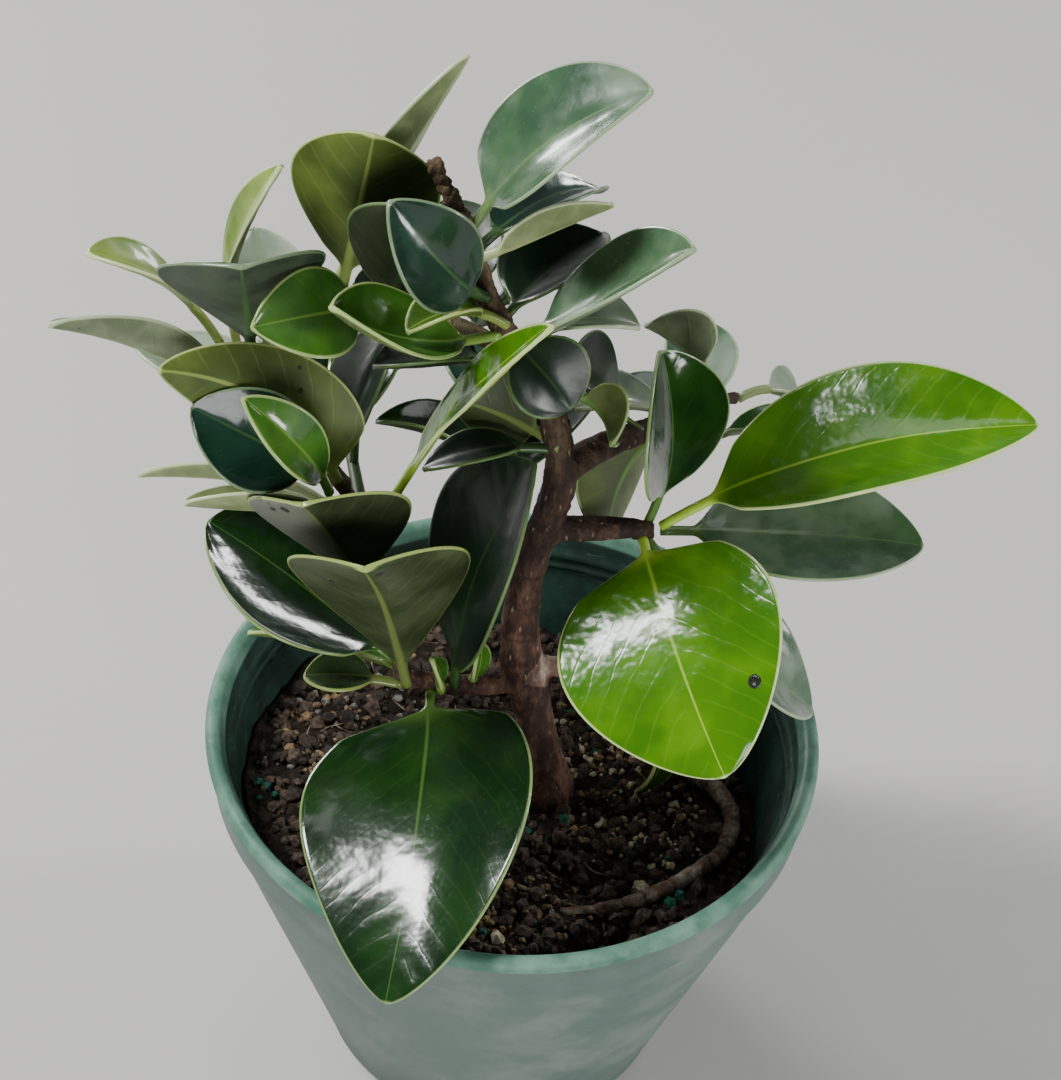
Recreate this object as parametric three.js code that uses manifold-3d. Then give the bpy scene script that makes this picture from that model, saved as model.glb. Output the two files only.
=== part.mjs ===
// A compacta ficus grown as a small bonsai in a round nursery pot.
// Millimetres, +Z up. The origin is the middle of the pot's underside, where it rests.
import * as THREE from 'three';
import { mergeVertices } from 'three/addons/utils/BufferGeometryUtils.js';
import Module from 'manifold-3d';

const wasm = await Module();
wasm.setup();

// Pot: a thin moulded shell with a rounded lip, a collar below it and drain holes.
const POT_LIP_RADIUS = 55;
const POT_HEIGHT = 78;
const POT_FOOT_RADIUS = 33;
const POT_WALL = 1.8;
const POT_FLOOR = 2.2;
const FOOT_ROUNDING = 0.9;
const LIP_WIDTH = 3;
const LIP_HEIGHT = 3.4;
const LIP_OVERHANG = 1.3;
const COLLAR_HEIGHT = 11;
const COLLAR_FOOT = POT_HEIGHT - COLLAR_HEIGHT;
const LEDGE_WIDTH = 2.2;
const RIDGE_HEIGHT = 71;
const RIDGE_SIZE = 0.6;
const POT_SIDES = 48;
const DRAIN_HOLES = 4;
const DRAIN_RING_RADIUS = 20;
const DRAIN_RADIUS = 4;
const DRAIN_SIDES = 16;

// Soil: its face falls away to the right and to the back.
const SOIL_DROP = 20;
const SOIL_FALL_X = 0.1;
const SOIL_FALL_Y = 0.07;
const SOIL_BUMP = 0.7;
const SOIL_EDGE = 45;
const SOIL_RINGS = 6;

// Clearance between pieces that touch on the real plant, and the distance at which two points are one.
const GAP = 0.3;
const SAME_POINT = 1e-4;

// Wood.
const LIMB_SIDES = 8;
const STEPS_PER_POINT = 2;

// Leaves. The blade's parts are fractions of its length, and LEAF_ACROSS those of its half width.
const BLADE_THICKNESS = 0.8;
const BLADE_ROUNDNESS = 0.66;
const MIDRIB_DEPTH = 0.5;
const STALK_RADIUS = 0.9;
const STALK_RUN = 0.125;
const STALK_ROUNDING = 0.7;
const TIP_HALF_WIDTH = 0.5;
const LARGE_LEAF_WIDTH = 19;
const LARGE_LEAF_STATIONS = [0, 0.08, 0.2, 0.36, 0.52, 0.68, 0.83, 0.94, 1];
const SMALL_LEAF_STATIONS = [0, 0.12, 0.36, 0.64, 0.88, 1];
const LEAF_ACROSS = [-1, -0.5, 0, 0.5, 1];
const PLAIN_LEAF = { petiole: 5, arch: 3, sway: 0, fold: 18, curl: 15, widest: 0.5, twist: 0 };

// Leafy sprays.
const TWIG_RADII = [1.2, 0.9];
const TWIG_SIDES = 6;
const SPRAY_LEAF_LENGTH = 26;
const SPRAY_LEAF_SHAPE = 0.6;
const SPRAY_TIP_SIZE = 0.8;
const SPRAY_TURN = 137.5;
const SPRAY_BARE_PART = 0.45;
const SPRAY_LAST_PART = 0.97;
const SPRAY_FORWARD = 0.6;
const SPRAY_LIFT = 0.25;

const POT_GREEN = { color: 0x5f9183, roughness: 0.55 };
const SOIL_DARK = { color: 0x2b2522, roughness: 1 };
const BARK = { color: 0x6b5147, roughness: 0.9 };
const MATURE = { color: 0x23481f, roughness: 0.3 };
const OLIVE = { color: 0x5d7440, roughness: 0.55 };
const LIME = { color: 0x78a81e, roughness: 0.32 };

// Limbs of the wood: a centre line, and the radii spread evenly along it.
const LIMBS = [
  { line: [[8.5, 1, 40], [8, 1, 50], [7.2, 1, 59], [5, 1, 71], [2.8, 1, 82], [0.6, 1, 92], [-0.2, 1, 104],
    [0.6, 1, 116], [2.7, 1, 125], [4.5, 1, 135], [4.5, 1, 141]],
  radii: [4, 5, 4.8, 3.5, 3.5, 3.9, 3.3, 3, 3, 2.8, 2.6] },
  { line: [[4.5, 1, 139], [2, 1, 150], [-3, 1, 160], [-9, 2, 171], [-14, 4, 184], [-19, 6, 194]],
    radii: [2.6, 2.2, 2, 1.9, 1.6, 1.1] },
  { line: [[0, 1, 88], [-8, -2, 88], [-15, -4, 90], [-20, -5, 93]], radii: [3, 2, 1.7, 1.5] },
  { line: [[-20, -5, 92], [-23, 0, 104], [-27, 4, 118], [-32, -1, 133]], radii: [1.6, 1.5, 1.4, 1.2] },
  { line: [[-31, 0, 131], [-38, 5, 136], [-46, 10, 142], [-52, 13, 148]], radii: [1.4, 1.4, 1.3, 1.1] },
  { line: [[-4, 1, 161], [-14, 6, 162], [-25, 8, 163], [-33, 8, 165]], radii: [1.6, 1.5, 1.3, 1.2] },
  { line: [[2, 1, 124], [10, 2, 124], [21, 2, 125]], radii: [2.6, 2, 1.7] },
  { line: [[4, 1, 137], [11, 8, 137], [20, 16, 136], [27, 22, 137], [34, 27, 134]],
    radii: [2.6, 2.4, 1.9, 1.4, 1.1] },
  { line: [[2, 1, 91], [8, 3, 89], [14, 5, 85], [20, 8, 76], [26, 10, 65], [33, 10, 57], [39, 6.5, 55.5],
    [41.5, 0, 55.5], [40, -8, 56], [34, -15.4, 57], [25, -22.5, 57.8], [18, -26, 58.2], [11, -27.6, 58.3]],
  radii: [2, 1.8, 1.7, 1.6, 1.6, 1.6, 1.6, 1.6, 1.5, 1.5, 1.4, 1.2, 1] },
];

// Leaves. stalk and tip end the midrib, and faces is the way the glossy side looks. arch lifts the middle
// of the midrib towards that side, and sway moves it sideways. petiole is the length of bare stalk, and
// widest the part of the blade where it is widest. fold and curl (degrees) raise the two halves of the
// blade towards its glossy side, and twist (degrees) turns it about the midrib.
const LEAVES = [
  { name: 'leaf_01_top_spear', look: OLIVE, stalk: [-35, 15, 160], tip: [-15, 18, 205],
    faces: [-0.8, 0.5, 0.3], width: 17, arch: 1, fold: 10, curl: 5 },
  { name: 'leaf_02_top_round', look: OLIVE, stalk: [-33, 10, 163], tip: [-28, 8, 196],
    faces: [0.1, 1, 0.1], width: 24, arch: 1, fold: 8, curl: 8, widest: 0.58 },
  { name: 'leaf_03_left_sickle', look: LIME, stalk: [-50, 13, 147], tip: [-42, 8, 189],
    faces: [-0.9, -0.2, 0.2], width: 10, arch: 4, fold: 15, petiole: 10 },
  { name: 'leaf_04_left_pale', look: LIME, stalk: [-53, 13, 149], tip: [-73, 8, 169],
    faces: [0.5, 0.4, 0.8], width: 15, arch: 3, fold: 10, petiole: 8 },
  { name: 'leaf_05_left_upright', look: OLIVE, stalk: [-47, 10, 144], tip: [-46, -10, 183],
    faces: [-0.2, 0.9, 0.4], width: 27, arch: 2, fold: 14, curl: 8, widest: 0.68, petiole: 12 },
  { name: 'leaf_06_far_left', look: OLIVE, stalk: [-47, 9, 140], tip: [-77, -4, 164],
    faces: [0.1, 0.8, 0.6], width: 15, arch: 2, fold: 20, petiole: 8 },
  { name: 'leaf_07_left_back', look: MATURE, stalk: [-45, 12, 141], tip: [-49, 26, 163],
    faces: [0.2, -0.4, 0.8], width: 16, petiole: 8 },
  { name: 'leaf_09_left_inner', look: MATURE, stalk: [-29, 7, 163], tip: [-44, -13, 174],
    faces: [0.1, -0.7, 0.7], width: 15, fold: 10 },
  { name: 'leaf_10_head_under', look: MATURE, stalk: [-25, 6, 162], tip: [-20, -6, 193],
    faces: [0.2, 1, 0.3], width: 21, arch: 1, fold: 10, curl: 10 },
  { name: 'leaf_11_head_gloss', look: MATURE, stalk: [-9, 1, 172], tip: [-24, -11, 198],
    faces: [0.6, -0.7, 0.3], width: 15, fold: 10, petiole: 7, sway: -2 },
  { name: 'leaf_13_top_right', look: MATURE, stalk: [-13, 4, 182], tip: [13, 8, 208],
    faces: [-0.7, -0.2, 0.7], width: 24, arch: 2, fold: 12, sway: -2.5, widest: 0.42 },
  { name: 'leaf_14_head_back', look: MATURE, stalk: [-12, 3, 179], tip: [7, 30, 173],
    faces: [-0.1, 0.1, 1], width: 16 },
  { name: 'leaf_15_head_pale', look: OLIVE, stalk: [-11, 2, 179], tip: [9, 6, 188],
    faces: [-0.3, 0.7, 0.6], width: 11, arch: 0, petiole: 3 },
  { name: 'leaf_16_head_dark', look: MATURE, stalk: [-7, 2, 167], tip: [8, 20, 172],
    faces: [-0.4, -0.1, 0.9], width: 20, petiole: 3, arch: 1 },
  { name: 'leaf_17_right_sheen', look: MATURE, stalk: [-4, 1, 164], tip: [21, -10, 193],
    faces: [-0.7, 0.1, 0.7], width: 19, arch: 0 },
  { name: 'leaf_18_boat', look: MATURE, stalk: [-7, 0, 166], tip: [-32, -14, 180],
    faces: [0.4, 0.1, 0.9], width: 18, arch: -4, fold: 20 },
  { name: 'leaf_19_boat_small', look: MATURE, stalk: [-6, 0, 168], tip: [-21, -9, 172],
    faces: [0, 0.2, 1], width: 10, fold: 25 },
  { name: 'leaf_20_boat_low', look: MATURE, stalk: [-5, 1, 161], tip: [-27, 3, 155],
    faces: [0, 0.2, 1], width: 17, arch: 0, fold: 20 },
  { name: 'leaf_21_lime_blade', look: LIME, stalk: [-27, 4, 115], tip: [1, -22, 186],
    faces: [-0.9, 0, 0.4], width: 10, arch: 2, fold: 12, petiole: 24, sway: -3 },
  { name: 'leaf_22_left_under', look: OLIVE, stalk: [-32, -1, 133], tip: [-60, -6, 158],
    faces: [-0.2, 0.95, -0.2], width: 20, arch: 1, fold: 12, curl: 10, sway: -5, widest: 0.3,
    petiole: 2, twist: 60 },
  { name: 'leaf_23_left_grey', look: MATURE, stalk: [-36, 5, 135], tip: [-69, 24, 138],
    faces: [0.1, 0.1, 1], width: 18, arch: 1, petiole: 8 },
  { name: 'leaf_24_left_bright', look: MATURE, stalk: [-33, -4, 133], tip: [-46, -11, 158],
    faces: [0.8, -0.5, 0.3], width: 10, fold: 10 },
  { name: 'leaf_25_left_dark', look: MATURE, stalk: [-34, -3, 136], tip: [-55, -6, 151],
    faces: [0, -0.7, 0.7], width: 17, fold: 8, arch: 2, petiole: 3 },
  { name: 'leaf_26_low_under', look: OLIVE, stalk: [-21, -5, 96], tip: [-36, -17, 142],
    faces: [0.1, 0.9, 0.1], width: 29, fold: 16, curl: 10, petiole: 22, widest: 0.62 },
  { name: 'leaf_27_left_band', look: OLIVE, stalk: [-30, 1, 127], tip: [-57, -5, 129],
    faces: [-0.1, 0.6, 0.8], width: 16, arch: -1 },
  { name: 'leaf_28_low_gloss', look: MATURE, stalk: [-20, -3, 92], tip: [-56, 12, 109],
    faces: [0.4, -0.1, 0.9], width: 36, arch: 1, fold: 10 },
  { name: 'leaf_29_low_heart', look: OLIVE, stalk: [-19, -7, 92], tip: [-25, -27, 139],
    faces: [-0.1, 0.9, 0.4], width: 32, fold: 18, curl: 12, widest: 0.64 },
  { name: 'leaf_30_trunk_side', look: MATURE, stalk: [-11, -4, 89], tip: [0, -3, 142],
    faces: [-0.9, -0.4, 0.2], width: 30, fold: 8, widest: 0.56 },
  { name: 'leaf_31_front_low', look: MATURE, stalk: [-15, -5, 89], tip: [-17, -61, 73],
    faces: [-0.3, -0.2, 0.9], width: 41, arch: 5, fold: 6, widest: 0.38, petiole: 4, sway: -3, curl: 6 },
  { name: 'leaf_32_low_small', look: OLIVE, stalk: [-20, -6, 91], tip: [-37, -7, 92],
    faces: [0.1, -0.1, 0.9], width: 10, arch: 1 },
  { name: 'leaf_33_low_lime', look: LIME, stalk: [-17, -3, 90], tip: [-49, 10, 84],
    faces: [0, 0.4, 0.9], width: 11, arch: 2 },
  { name: 'leaf_34_left_sliver', look: OLIVE, stalk: [-28, 4, 120], tip: [-68, 14, 117],
    faces: [0, 0.8, 0.6], width: 8, arch: 3 },
  { name: 'leaf_35_mid_under', look: OLIVE, stalk: [4, -1, 144], tip: [-14, 6, 147],
    faces: [-0.4, 0.9, 0], width: 16, arch: 2, fold: 10 },
  { name: 'leaf_36_mid_narrow', look: MATURE, stalk: [3, 0, 143], tip: [-18, -1, 137],
    faces: [-0.1, 0, 1], width: 9, arch: 2, fold: 15 },
  { name: 'leaf_37_mid_olive', look: OLIVE, stalk: [1, 2, 153], tip: [12, -5, 149],
    faces: [0.6, 0.7, 0.2], width: 13, arch: 4, fold: 25 },
  { name: 'leaf_38_mid_grey', look: OLIVE, stalk: [-4, 3, 161], tip: [15, 8, 163],
    faces: [0.1, 0.2, 1], width: 16 },
  { name: 'leaf_39_right_back', look: OLIVE, stalk: [30, 25, 136], tip: [17, 30, 146],
    faces: [0, 0.8, 0.5], width: 16 },
  { name: 'leaf_40_right_upright', look: MATURE, stalk: [20, 3, 126], tip: [19, 10, 157],
    faces: [0.8, -0.5, 0.3], width: 25, arch: 3, fold: 10 },
  { name: 'leaf_41_right_olive', look: OLIVE, stalk: [22, 17, 137], tip: [13, 4, 120],
    faces: [-0.7, 0.7, -0.1], width: 18, fold: 10 },
  { name: 'leaf_42_right_lime', look: LIME, stalk: [22, 2, 126], tip: [81, 6, 151],
    faces: [-0.4, -0.1, 0.9], width: 30, petiole: 9, arch: 6, fold: 12 },
  { name: 'leaf_43_right_dark', look: MATURE, stalk: [22, 3, 124], tip: [66, 2, 126],
    faces: [0, -0.1, 1], width: 26, fold: 8, arch: 1 },
  { name: 'leaf_44_right_grey', look: OLIVE, stalk: [34, 28, 133], tip: [45, 30, 130],
    faces: [-0.5, 0.1, 0.9], width: 14 },
  { name: 'leaf_45_front_lime', look: LIME, stalk: [19, 1, 124], tip: [35, -36, 107],
    faces: [-0.4, -0.5, 0.8], width: 39, arch: 4, fold: 6, curl: 5, widest: 0.42, petiole: 3 },
  { name: 'leaf_46_right_low', look: OLIVE, stalk: [18, 4, 124], tip: [52, -2, 89],
    faces: [0.7, -0.2, 0.6], width: 20, sway: 6 },
  { name: 'leaf_47_mid_dark', look: MATURE, stalk: [0, 3, 156], tip: [13, 15, 139],
    faces: [0.7, 0, 0.8], width: 20 },
  { name: 'leaf_48_pot_small', look: OLIVE, stalk: [26, 10, 68], tip: [24, 3, 58],
    faces: [0.8, -0.6, 0.3], width: 7, petiole: 2 },
  { name: 'leaf_49_front_dark', look: MATURE, stalk: [-6, 1, 165], tip: [5, -6, 157],
    faces: [0, -0.6, 0.8], width: 15, petiole: 3 },
  { name: 'bud_1', look: LIME, stalk: [-13, -5, 89], tip: [-15, -9, 101],
    faces: [1, -0.2, 0.3], width: 5, petiole: 2, arch: 0.5 },
  { name: 'bud_2', look: LIME, stalk: [-8, -2, 88], tip: [-7, -4, 101],
    faces: [0.8, -0.6, -0.1], width: 5, petiole: 2, arch: 0.5 },
];

// Leafy sprays at the back: a twig that carries leaves turned round it by the same angle each time.
const SPRAYS = [
  { name: 'spray_1_back_left', start: [-28, 0, 126], end: [-34, 28, 122], leaves: 4, turn: 30 },
  { name: 'spray_2_back_head', start: [-8, 2, 168], end: [-12, 24, 148], leaves: 4, turn: 75 },
  { name: 'spray_3_back_middle', start: [0, 1, 118], end: [-8, 26, 122], leaves: 4, turn: 130 },
  { name: 'spray_4_back_right', start: [24, 19, 136], end: [30, 38, 112], leaves: 4, turn: 200 },
];

const vec = (p) => new THREE.Vector3(...p);
const radians = THREE.MathUtils.degToRad;
const lerp = THREE.MathUtils.lerp;

// Makes a closed geometry from corner points and the triangles between them.
function closedGeometry(points, triangles) {
  const geometry = new THREE.BufferGeometry();
  const numbers = points.flatMap((p) => [p.x, p.y, p.z]);
  geometry.setAttribute('position', new THREE.Float32BufferAttribute(numbers, 3));
  geometry.setIndex(triangles.flat());
  return geometry;
}

function toSolid(geometry) {
  const bare = geometry.clone();
  bare.deleteAttribute('normal');
  bare.deleteAttribute('uv');
  const merged = mergeVertices(bare, SAME_POINT);
  return new wasm.Manifold(new wasm.Mesh({
    numProp: 3,
    vertProperties: new Float32Array(merged.attributes.position.array),
    triVerts: new Uint32Array(merged.index.array),
  }));
}

function toGeometry(solid) {
  const { numProp, vertProperties, triVerts } = solid.getMesh();
  const points = [];
  for (let i = 0; i < vertProperties.length; i += numProp) {
    points.push(new THREE.Vector3(vertProperties[i], vertProperties[i + 1], vertProperties[i + 2]));
  }
  return closedGeometry(points, [Array.from(triVerts)]);
}

// A round limb of changing thickness along a smooth line, closed at both ends.
function limbGeometry(line, radii, sides, steps) {
  const curve = new THREE.CatmullRomCurve3(line.map(vec), false, 'centripetal');
  const frames = curve.computeFrenetFrames(steps, false);
  const points = [];
  const triangles = [];
  for (let i = 0; i <= steps; i += 1) {
    const along = i / steps;
    const centre = curve.getPointAt(along);
    const place = along * (radii.length - 1);
    const before = Math.min(Math.floor(place), radii.length - 2);
    const radius = lerp(radii[before], radii[before + 1], place - before);
    for (let j = 0; j < sides; j += 1) {
      const turn = (j / sides) * 2 * Math.PI;
      points.push(centre.clone()
        .addScaledVector(frames.normals[i], radius * Math.cos(turn))
        .addScaledVector(frames.binormals[i], radius * Math.sin(turn)));
    }
  }
  for (let i = 0; i < steps; i += 1) {
    for (let j = 0; j < sides; j += 1) {
      const a = i * sides + j;
      const b = i * sides + (j + 1) % sides;
      triangles.push([a, b, b + sides], [a, b + sides, a + sides]);
    }
  }
  const last = steps * sides;
  for (let j = 1; j < sides - 1; j += 1) {
    triangles.push([0, j + 1, j], [last, last + j, last + j + 1]);
  }
  return closedGeometry(points, triangles);
}

// All the limbs grown into one, with extra added to every radius.
function woodSolid(extra) {
  const limbs = LIMBS.map(({ line, radii }) => {
    const steps = (line.length - 1) * STEPS_PER_POINT;
    return toSolid(limbGeometry(line, radii.map((r) => r + extra), LIMB_SIDES, steps));
  });
  return limbs.reduce((all, limb) => all.add(limb));
}

// Half the width of a blade at a fraction of its length.
function halfWidth(leaf, along) {
  const power = Math.log(0.5) / Math.log(leaf.widest);
  return 0.5 * leaf.width * Math.sin(Math.PI * along ** power) ** BLADE_ROUNDNESS;
}

// One row of points across a leaf, on its glossy side and on its underside.
function leafRow(leaf, curve, up, t, bladeStart) {
  const along = Math.max(0, (t - bladeStart) / (1 - bladeStart));
  const centre = curve.getPoint(t);
  const tangent = curve.getTangent(t);
  const face = up.clone().addScaledVector(tangent, -up.dot(tangent)).normalize();
  face.applyAxisAngle(tangent, radians(leaf.twist) * (t - 0.5));
  const across = tangent.clone().cross(face);
  const stalkPart = Math.max(0, 1 - along / STALK_RUN);
  const half = Math.max(halfWidth(leaf, along), along < 0.5 ? STALK_RADIUS : TIP_HALF_WIDTH);
  const thick = lerp(BLADE_THICKNESS, 2 * STALK_RADIUS, stalkPart);
  const fold = radians(leaf.fold);
  const curl = radians(leaf.curl);
  const top = [];
  const under = [];
  for (const u of LEAF_ACROSS) {
    const reach = Math.abs(u);
    const lean = u === 0 ? 0 : fold + curl * reach;
    const out = half * (Math.sin(fold + curl * reach) - Math.sin(fold)) / curl;
    const rise = half * (Math.cos(fold) - Math.cos(fold + curl * reach)) / curl;
    const point = centre.clone().addScaledVector(across, Math.sign(u) * out).addScaledVector(face, rise);
    const normal = face.clone().multiplyScalar(Math.cos(lean))
      .addScaledVector(across, -Math.sign(u) * Math.sin(lean));
    const halfThick = 0.5 * thick * (1 - STALK_ROUNDING * stalkPart * reach * reach);
    const rib = u === 0 ? MIDRIB_DEPTH * (1 - along) : 0;
    top.push(point.clone().addScaledVector(normal, halfThick));
    under.push(point.clone().addScaledVector(normal, -halfThick - rib));
  }
  return { top, under };
}

// A leaf is one closed sweep along its midrib: a round stalk that opens into a folded blade.
// Both faces of the blade are split into triangles alike.
function leafGeometry(options) {
  const leaf = { ...PLAIN_LEAF, ...options };
  const start = vec(leaf.stalk);
  const end = vec(leaf.tip);
  const chord = end.clone().sub(start);
  const ahead = chord.clone().normalize();
  const up = vec(leaf.faces).addScaledVector(ahead, -vec(leaf.faces).dot(ahead)).normalize();
  const side = ahead.clone().cross(up);
  const middle = start.clone().add(end).multiplyScalar(0.5)
    .addScaledVector(up, 2 * leaf.arch)
    .addScaledVector(side, 2 * leaf.sway);
  const curve = new THREE.QuadraticBezierCurve3(start, middle, end);
  const bladeStart = leaf.petiole / chord.length();
  const places = leaf.width < LARGE_LEAF_WIDTH ? SMALL_LEAF_STATIONS : LARGE_LEAF_STATIONS;
  const stations = [0, ...places.map((s) => lerp(bladeStart, 1, s))];
  const rows = stations.map((t) => leafRow(leaf, curve, up, t, bladeStart));
  const n = LEAF_ACROSS.length;
  const low = rows.length * n;
  const triangles = [];
  for (let i = 0; i < rows.length - 1; i += 1) {
    for (let j = 0; j < n - 1; j += 1) {
      const a = i * n + j;
      const b = a + n;
      triangles.push([a, a + 1, b + 1], [a, b + 1, b]);
      triangles.push([low + a, low + b + 1, low + a + 1], [low + a, low + b, low + b + 1]);
    }
    const left = i * n;
    const right = left + n - 1;
    triangles.push([left, left + n, low + left + n], [left, low + left + n, low + left]);
    triangles.push([right, low + right + n, right + n], [right, low + right, low + right + n]);
  }
  const endRow = (rows.length - 1) * n;
  for (let j = 0; j < n - 1; j += 1) {
    const tip = endRow + j;
    triangles.push([j, low + j, low + j + 1], [j, low + j + 1, j + 1]);
    triangles.push([tip, low + tip + 1, low + tip], [tip, tip + 1, low + tip + 1]);
  }
  return closedGeometry([...rows.flatMap((r) => r.top), ...rows.flatMap((r) => r.under)], triangles);
}

// Radius of the pot's inner wall at a height.
function innerRadius(z) {
  const top = POT_LIP_RADIUS - LIP_WIDTH;
  const ledge = top - LEDGE_WIDTH;
  if (z > COLLAR_FOOT) return lerp(ledge, top, (z - COLLAR_FOOT) / COLLAR_HEIGHT);
  return lerp(POT_FOOT_RADIUS - POT_WALL, ledge, (z - POT_FLOOR) / (COLLAR_FOOT - POT_FLOOR));
}

// The wall's outline, from the middle of the floor up inside, over the lip and down outside.
function potOutline() {
  const top = POT_HEIGHT;
  const lip = POT_LIP_RADIUS;
  const collar = lip - LIP_OVERHANG;
  return [
    [0, POT_FLOOR],
    [innerRadius(POT_FLOOR), POT_FLOOR],
    [innerRadius(COLLAR_FOOT), COLLAR_FOOT],
    [innerRadius(RIDGE_HEIGHT - RIDGE_SIZE), RIDGE_HEIGHT - RIDGE_SIZE],
    [innerRadius(RIDGE_HEIGHT) - RIDGE_SIZE, RIDGE_HEIGHT],
    [innerRadius(RIDGE_HEIGHT + RIDGE_SIZE), RIDGE_HEIGHT + RIDGE_SIZE],
    [innerRadius(top - 2), top - 2],
    [lip - 0.8 * LIP_WIDTH, top - 0.5],
    [lip - 0.5 * LIP_WIDTH, top],
    [lip - 0.17 * LIP_WIDTH, top - 0.6],
    [lip, top - 0.5 * LIP_HEIGHT],
    [lip - 0.4, top - 0.85 * LIP_HEIGHT],
    [collar + 0.3, top - LIP_HEIGHT],
    [collar, COLLAR_FOOT + 0.6],
    [collar - 1, COLLAR_FOOT - 0.4],
    [POT_FOOT_RADIUS + 0.4, 3],
    [POT_FOOT_RADIUS - 0.4, FOOT_ROUNDING],
    [POT_FOOT_RADIUS - 2 * FOOT_ROUNDING, 0],
    [0, 0],
  ];
}

function potSolid() {
  const outline = potOutline().map(([r, z]) => new THREE.Vector2(r, z)).reverse();
  const shell = new THREE.LatheGeometry(outline, POT_SIDES);
  shell.rotateX(Math.PI / 2);
  const drains = Array.from({ length: DRAIN_HOLES }, (_, i) => {
    const turn = ((i + 0.5) / DRAIN_HOLES) * 2 * Math.PI;
    const drill = new THREE.CylinderGeometry(DRAIN_RADIUS, DRAIN_RADIUS, 4 * POT_FLOOR, DRAIN_SIDES);
    drill.rotateX(Math.PI / 2);
    drill.translate(DRAIN_RING_RADIUS * Math.cos(turn), DRAIN_RING_RADIUS * Math.sin(turn), 0);
    return toSolid(drill);
  });
  return drains.reduce((pot, drain) => pot.subtract(drain), toSolid(shell));
}

// Height of the soil's face at a place in the pot.
function soilHeight(x, y) {
  const fall = SOIL_FALL_X * x + SOIL_FALL_Y * y;
  const bumps = Math.sin(0.31 * x + 1.3) * Math.cos(0.27 * y - 0.6) + 0.6 * Math.sin(0.19 * (x - 2 * y));
  return POT_HEIGHT - SOIL_DROP - fall + SOIL_BUMP * bumps;
}

// The soil fills the pot just clear of its wall, up to its bumpy face.
function soilSolid() {
  const points = [];
  const triangles = [];
  const turns = Array.from({ length: POT_SIDES }, (_, j) => (j / POT_SIDES) * 2 * Math.PI);
  const put = (reach, turn, z) => points.push(
    new THREE.Vector3(reach * Math.sin(turn), reach * Math.cos(turn), z),
  );
  for (let ring = 1; ring <= SOIL_RINGS; ring += 1) {
    for (const turn of turns) {
      const edgeHeight = soilHeight(SOIL_EDGE * Math.sin(turn), SOIL_EDGE * Math.cos(turn));
      const reach = (ring / SOIL_RINGS) * (innerRadius(edgeHeight) - GAP);
      const height = soilHeight(reach * Math.sin(turn), reach * Math.cos(turn));
      put(reach, turn, ring === SOIL_RINGS ? edgeHeight : height);
    }
  }
  const floor = POT_FLOOR + GAP;
  for (const turn of turns) {
    put(innerRadius(floor) - GAP, turn, floor);
  }
  const top = put(0, 0, soilHeight(0, 0)) - 1;
  const bottom = put(0, 0, floor) - 1;
  for (let j = 0; j < POT_SIDES; j += 1) {
    const k = (j + 1) % POT_SIDES;
    triangles.push([top, k, j]);
    for (let ring = 0; ring < SOIL_RINGS; ring += 1) {
      const a = ring * POT_SIDES + j;
      const b = ring * POT_SIDES + k;
      triangles.push([a, b, b + POT_SIDES], [a, b + POT_SIDES, a + POT_SIDES]);
    }
    triangles.push([bottom, SOIL_RINGS * POT_SIDES + j, SOIL_RINGS * POT_SIDES + k]);
  }
  return toSolid(closedGeometry(points, triangles));
}

// A twig with leaves set along it, each turned round it from the one before and raised a little.
function spraySolid({ start, end, leaves, turn }) {
  const from = vec(start);
  const to = vec(end);
  const ahead = to.clone().sub(from).normalize();
  const up = new THREE.Vector3(0, 0, 1).addScaledVector(ahead, -ahead.z).normalize();
  let spray = toSolid(limbGeometry([start, end], TWIG_RADII, TWIG_SIDES, STEPS_PER_POINT));
  for (let i = 0; i < leaves; i += 1) {
    const part = i / (leaves - 1);
    const root = from.clone().lerp(to, lerp(SPRAY_BARE_PART, SPRAY_LAST_PART, part));
    const heading = up.clone().applyAxisAngle(ahead, radians(turn + i * SPRAY_TURN))
      .addScaledVector(ahead, SPRAY_FORWARD);
    heading.z = Math.max(heading.z, 0) + SPRAY_LIFT;
    const size = SPRAY_LEAF_LENGTH * lerp(1, SPRAY_TIP_SIZE, part);
    const tip = root.clone().addScaledVector(heading.normalize(), size);
    const faces = [0.4 * ahead.x, 0.4 * ahead.y, 1];
    const width = SPRAY_LEAF_SHAPE * size;
    const blade = leafGeometry({ stalk: root.toArray(), tip: tip.toArray(), faces, width });
    spray = spray.add(toSolid(blade));
  }
  return spray;
}

const wood = woodSolid(0);
const woodWithRoom = woodSolid(GAP);
const group = new THREE.Group();

// What is left of a leaf or a spray once the wood and the room round it are cut away.
function clearOfWood(solid) {
  const bodies = solid.subtract(woodWithRoom).decompose();
  return bodies.reduce((best, body) => (body.volume() > best.volume() ? body : best));
}

function addPiece(name, solid, look) {
  const shown = toGeometry(solid).toNonIndexed();
  shown.computeVertexNormals();
  const mesh = new THREE.Mesh(shown, new THREE.MeshStandardMaterial({ ...look, metalness: 0 }));
  mesh.name = name;
  group.add(mesh);
}

addPiece('pot', potSolid(), POT_GREEN);
addPiece('soil', soilSolid().subtract(woodWithRoom), SOIL_DARK);
addPiece('trunk_and_branches', wood, BARK);
for (const leaf of LEAVES) {
  addPiece(leaf.name, clearOfWood(toSolid(leafGeometry(leaf))), leaf.look);
}
for (const spray of SPRAYS) {
  addPiece(spray.name, clearOfWood(spraySolid(spray)), MATURE);
}

export default group;
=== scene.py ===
"""A compacta ficus bonsai in a green nursery pot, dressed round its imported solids."""

import logging
import math
import random
from collections.abc import Sequence
from dataclasses import dataclass, field
from enum import Enum
from typing import ClassVar

import bpy
import numpy as np
from mathutils import Matrix, Quaternion, Vector, noise
from mathutils.kdtree import KDTree

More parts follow.
